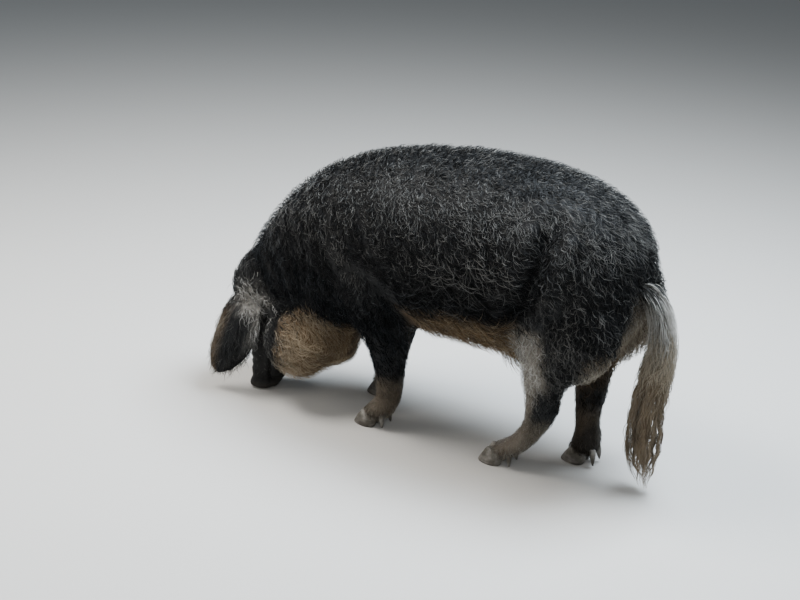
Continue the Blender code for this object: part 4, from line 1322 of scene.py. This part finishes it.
def add_eyes():
    """Eyeballs with a dark round pupil in a brown iris, facing out and a little up."""
    for side_name, sign in (("left", -1.0), ("right", 1.0)):
        low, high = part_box("eye_" + side_name)
        centre, radius = np.array((low + high) / 2), (high.x - low.x) / 2
        bm = bmesh.new()
        bmesh.ops.create_uvsphere(bm, u_segments=48, v_segments=32, radius=radius * 0.985)
        bmesh.ops.triangulate(bm, faces=bm.faces)
        mesh = bpy.data.meshes.new("eyeball_" + side_name)
        bm.to_mesh(mesh)
        bm.free()
        ob = add_object("eyeball_" + side_name, mesh)
        co, _, _ = arrays_of(mesh)
        outward = eye_outward(sign)
        facing = Vector((0, 0, 1)).rotation_difference(Vector(outward)).to_matrix()
        co = co @ np.array(facing).T
        away = np.arccos(np.clip(co @ outward / radius, -1, 1))
        co = co * (1 + 0.045 * ebb(away, 0.30, 0.62))[:, None]  # the cornea
        mesh.vertices.foreach_set("co", (co + centre).ravel().astype(np.float32))
        mesh.update()
        mesh.shade_smooth()
        set_attribute(mesh, "away", away)
        mesh.materials.append(EYE)
        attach(ob, "root")
        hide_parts("eye_" + side_name)


class Nodes:
    """Short ways to add the nodes of one material."""

    def __init__(self, name):
        self.material = bpy.data.materials.new(name)
        self.material.use_nodes = True
        self.nodes, self.links = self.material.node_tree.nodes, self.material.node_tree.links
        self.shader = self.nodes["Principled BSDF"]
        self.place = self.nodes.new("ShaderNodeTexCoord").outputs["Object"]

    def feed(self, socket, given):
        if hasattr(given, "links"):
            self.links.new(given, socket)
        elif isinstance(given, tuple):
            socket.default_value = (*given, 1.0)
        else:
            socket.default_value = given

    def value_of(self, label, factor=None):
        node = self.nodes.new("ShaderNodeAttribute")
        node.attribute_name = label
        value = node.outputs["Fac"]
        return value if factor is None else self.worked("MULTIPLY", value, factor)

    def mixed(self, factor, first, second, mode="MIX"):
        node = self.nodes.new("ShaderNodeMix")
        node.data_type = "RGBA"
        node.blend_type = mode
        self.feed(node.inputs["Factor"], factor)
        self.feed(node.inputs["A"], first)
        self.feed(node.inputs["B"], second)
        return node.outputs["Result"]

    def times(self, first, second, factor=1.0):
        return self.mixed(factor, first, second, "MULTIPLY")

    def worked(self, operation, first, second=0.0):
        node = self.nodes.new("ShaderNodeMath")
        node.operation = operation
        node.use_clamp = True
        self.feed(node.inputs[0], first)
        self.feed(node.inputs[1], second)
        return node.outputs[0]

    def blend_of(self, *pairs):
        """The clamped sum of each source times its weight."""
        total = None
        for source, weight in pairs:
            part = self.worked("MULTIPLY", source, weight)
            total = part if total is None else self.worked("ADD", total, part)
        return total

    def noise(self, scale, detail, stretch=None):
        place = self.place
        if stretch:
            node = self.nodes.new("ShaderNodeMapping")
            node.inputs["Scale"].default_value = stretch
            self.links.new(place, node.inputs["Vector"])
            place = node.outputs["Vector"]
        node = self.nodes.new("ShaderNodeTexNoise")
        self.links.new(place, node.inputs["Vector"])
        node.inputs["Scale"].default_value = scale
        node.inputs["Detail"].default_value = detail
        return node.outputs["Fac"]

    def bump(self, height, strength, distance):
        node = self.nodes.new("ShaderNodeBump")
        node.inputs["Strength"].default_value = strength
        node.inputs["Distance"].default_value = distance
        self.links.new(height, node.inputs["Height"])
        self.links.new(node.outputs["Normal"], self.shader.inputs["Normal"])

    def finish(self, colour, roughness, specular=0.5):
        self.links.new(colour, self.shader.inputs["Base Color"])
        self.shader.inputs["Roughness"].default_value = roughness
        self.shader.inputs["Specular IOR Level"].default_value = specular
        return self.material


def marked_colour(n):
    """The pig's own colour from its markings."""
    patches = n.noise(22.0, 5.0)
    black = n.mixed(patches, (0.0018, 0.0024, 0.0034), (0.0080, 0.0096, 0.0122))
    tan = n.mixed(patches, (0.150, 0.094, 0.048), (0.370, 0.262, 0.155))
    grey = n.mixed(patches, (0.140, 0.128, 0.104), (0.400, 0.375, 0.320))
    colour = n.mixed(n.value_of("tan"), black, tan)
    return n.mixed(n.value_of("grey", 0.75), colour, grey)


# darkens the colour where mud, dust and painted shade lie, and again, bluish, where painted shade lies low
# on the body and in the folds
def dirtied_and_shaded(n, colour):
    colour = n.mixed(n.value_of("dirt_and_shade"), colour, n.times(colour, (0.34, 0.29, 0.24)))
    return n.mixed(n.value_of("painted_shade"), colour, n.times(colour, (0.27, 0.31, 0.37)))


def white_colour(n):
    return n.mixed(n.noise(40.0, 3.0), (0.46, 0.455, 0.44), (0.86, 0.86, 0.83))


def skin_material():
    n = Nodes("skin")
    fine = n.noise(160.0, 3.0)
    colour = dirtied_and_shaded(n, n.mixed(n.value_of("white", 0.5), marked_colour(n), white_colour(n)))
    colour = n.times(colour, n.mixed(fine, (0.0, 0.0, 0.0), (0.5, 0.45, 0.4)), 0.8)
    n.bump(fine, 0.6, 0.002)
    return n.finish(colour, 0.60, 0.18)


def coat_material():
    n = Nodes("coat")
    tip, vary = n.value_of("tip"), n.value_of("vary")
    pale = n.mixed(n.value_of("tan"), (0.340, 0.335, 0.315), (0.780, 0.660, 0.470))
    pale = n.mixed(n.value_of("grey", 0.8), pale, (0.640, 0.620, 0.550))
    bleached_and_sheened = n.value_of("bleach_and_sheen", n.worked("ADD", n.worked("MULTIPLY", tip, 0.5), 0.5))
    # painted shade among the locks: each lock darker toward its root, and darker or lighter at random from
    # lock to lock
    shade = n.mixed(n.blend_of((vary, 0.60), (tip, 0.40)), (0.12, 0.12, 0.12), (1.0, 1.0, 1.0))
    colour = n.times(n.mixed(bleached_and_sheened, marked_colour(n), pale), shade)
    white = n.times(white_colour(n), n.mixed(vary, (0.20, 0.19, 0.17), (1.0, 1.0, 1.0)))
    return n.finish(dirtied_and_shaded(n, n.mixed(n.value_of("white"), colour, white)), 0.42, 0.06)


def horn_material():
    """Worn grey-brown horn, dusty at the top and stained dark along the ground."""
    n = Nodes("horn")
    streaks = n.noise(45.0, 5.0, (1.0, 1.0, 4.0))
    spots = n.noise(110.0, 6.0)
    grime = n.worked("MULTIPLY", n.worked("SUBTRACT", n.noise(30.0, 4.0), 0.40), 5.0)
    colour = n.mixed(streaks, (0.012, 0.011, 0.010), (0.230, 0.212, 0.186))
    dusty = n.mixed(spots, (0.03, 0.029, 0.027), (0.47, 0.45, 0.41))
    colour = n.mixed(n.value_of("up", 0.70), colour, dusty)
    colour = n.times(colour, n.mixed(grime, (0.36, 0.34, 0.30), (1.0, 1.0, 1.0)))
    n.bump(n.blend_of((streaks, 0.6), (spots, 0.4)), 1.0, 0.0025)
    return n.finish(colour, 0.55, 0.4)


def eye_material():
    n = Nodes("eye")
    away = n.value_of("away")

    def beyond(angle):
        return n.worked("MULTIPLY", n.worked("SUBTRACT", away, angle), 14.0)

    iris = n.mixed(n.noise(900.0, 2.0), (0.010, 0.005, 0.003), (0.036, 0.018, 0.008))
    colour = n.mixed(beyond(0.24), (0.0010, 0.0008, 0.0008), iris)
    colour = n.mixed(beyond(0.56), colour, (0.008, 0.005, 0.004))
    colour = n.mixed(beyond(0.80), colour, (0.030, 0.021, 0.018))
    return n.finish(colour, 0.06, 0.6)


COAT, SKIN, HORN, EYE = coat_material(), skin_material(), horn_material(), eye_material()
skin.data.materials.append(SKIN)
grow_coat()
grow_tail()
for piece in PIECES:
    piece.data.materials.append(COAT)
add_claws()
add_eyes()

# ---------------------------------------------------------------- floor, light, camera
CAMERA_PLACE = (1.4238, -2.7057, 1.65)
CAMERA_YAW, CAMERA_PITCH, CAMERA_ROLL = math.radians(30.0), math.radians(22.6), math.radians(3.0)
CAMERA_LENS = 54.0


def add_camera():
    level = Vector((math.cos(CAMERA_YAW), math.sin(CAMERA_YAW), 0.0))
    flat = math.cos(CAMERA_PITCH)
    forward = Vector((-math.sin(CAMERA_YAW) * flat, math.cos(CAMERA_YAW) * flat, -math.sin(CAMERA_PITCH)))
    above = level.cross(forward)
    right = level * math.cos(CAMERA_ROLL) + above * math.sin(CAMERA_ROLL)
    up = above * math.cos(CAMERA_ROLL) - level * math.sin(CAMERA_ROLL)
    data = bpy.data.cameras.new("camera")
    data.lens = CAMERA_LENS
    data.sensor_width = 36.0
    ob = add_object("camera", data)
    ob.matrix_world = Matrix.Translation(CAMERA_PLACE) @ Matrix((right, up, -forward)).transposed().to_4x4()
    bpy.context.scene.camera = ob


def add_light(name, place, target, size, power, colour):
    data = bpy.data.lights.new(name, "AREA")
    data.size = size
    data.energy = power
    data.color = colour
    ob = add_object(name, data)
    ob.location = place
    ob.rotation_euler = (Vector(target) - Vector(place)).to_track_quat("-Z", "Y").to_euler()


def add_stage():
    bpy.ops.mesh.primitive_plane_add(size=80.0, location=(0, 0, 0))
    floor = bpy.context.object
    floor.name = "floor"
    mat = bpy.data.materials.new("floor")
    mat.use_nodes = True
    shader = mat.node_tree.nodes["Principled BSDF"]
    shader.inputs["Base Color"].default_value = (0.45, 0.44, 0.42, 1)
    shader.inputs["Roughness"].default_value = 0.9
    floor.data.materials.append(mat)
    world = bpy.data.worlds.new("studio")
    world.use_nodes = True
    world.node_tree.nodes["Background"].inputs["Color"].default_value = (0.80, 0.90, 1.0, 1)
    world.node_tree.nodes["Background"].inputs["Strength"].default_value = 0.22
    bpy.context.scene.world = world
    add_light("above", (0.7, 0.6, 3.2), (0.1, 0, 0.5), 1.5, 400, (0.80, 0.90, 1.0))
    add_light("crest", (-1.5, -0.8, 3.0), (-0.2, 0, 0.5), 1.2, 150, (1.0, 0.97, 0.93))
    add_light("front", (-2.9, -2.2, 2.0), (-0.4, 0, 0.3), 1.6, 65, (1.0, 0.95, 0.88))
    add_light("behind", (2.6, 1.6, 2.4), (0.3, 0, 0.5), 1.6, 25, (0.92, 0.96, 1.0))
    add_light("side", (1.6, -3.2, 2.6), (0.2, 0, 0.3), 1.2, 34, (1.0, 0.96, 0.90))


add_camera()
add_stage()
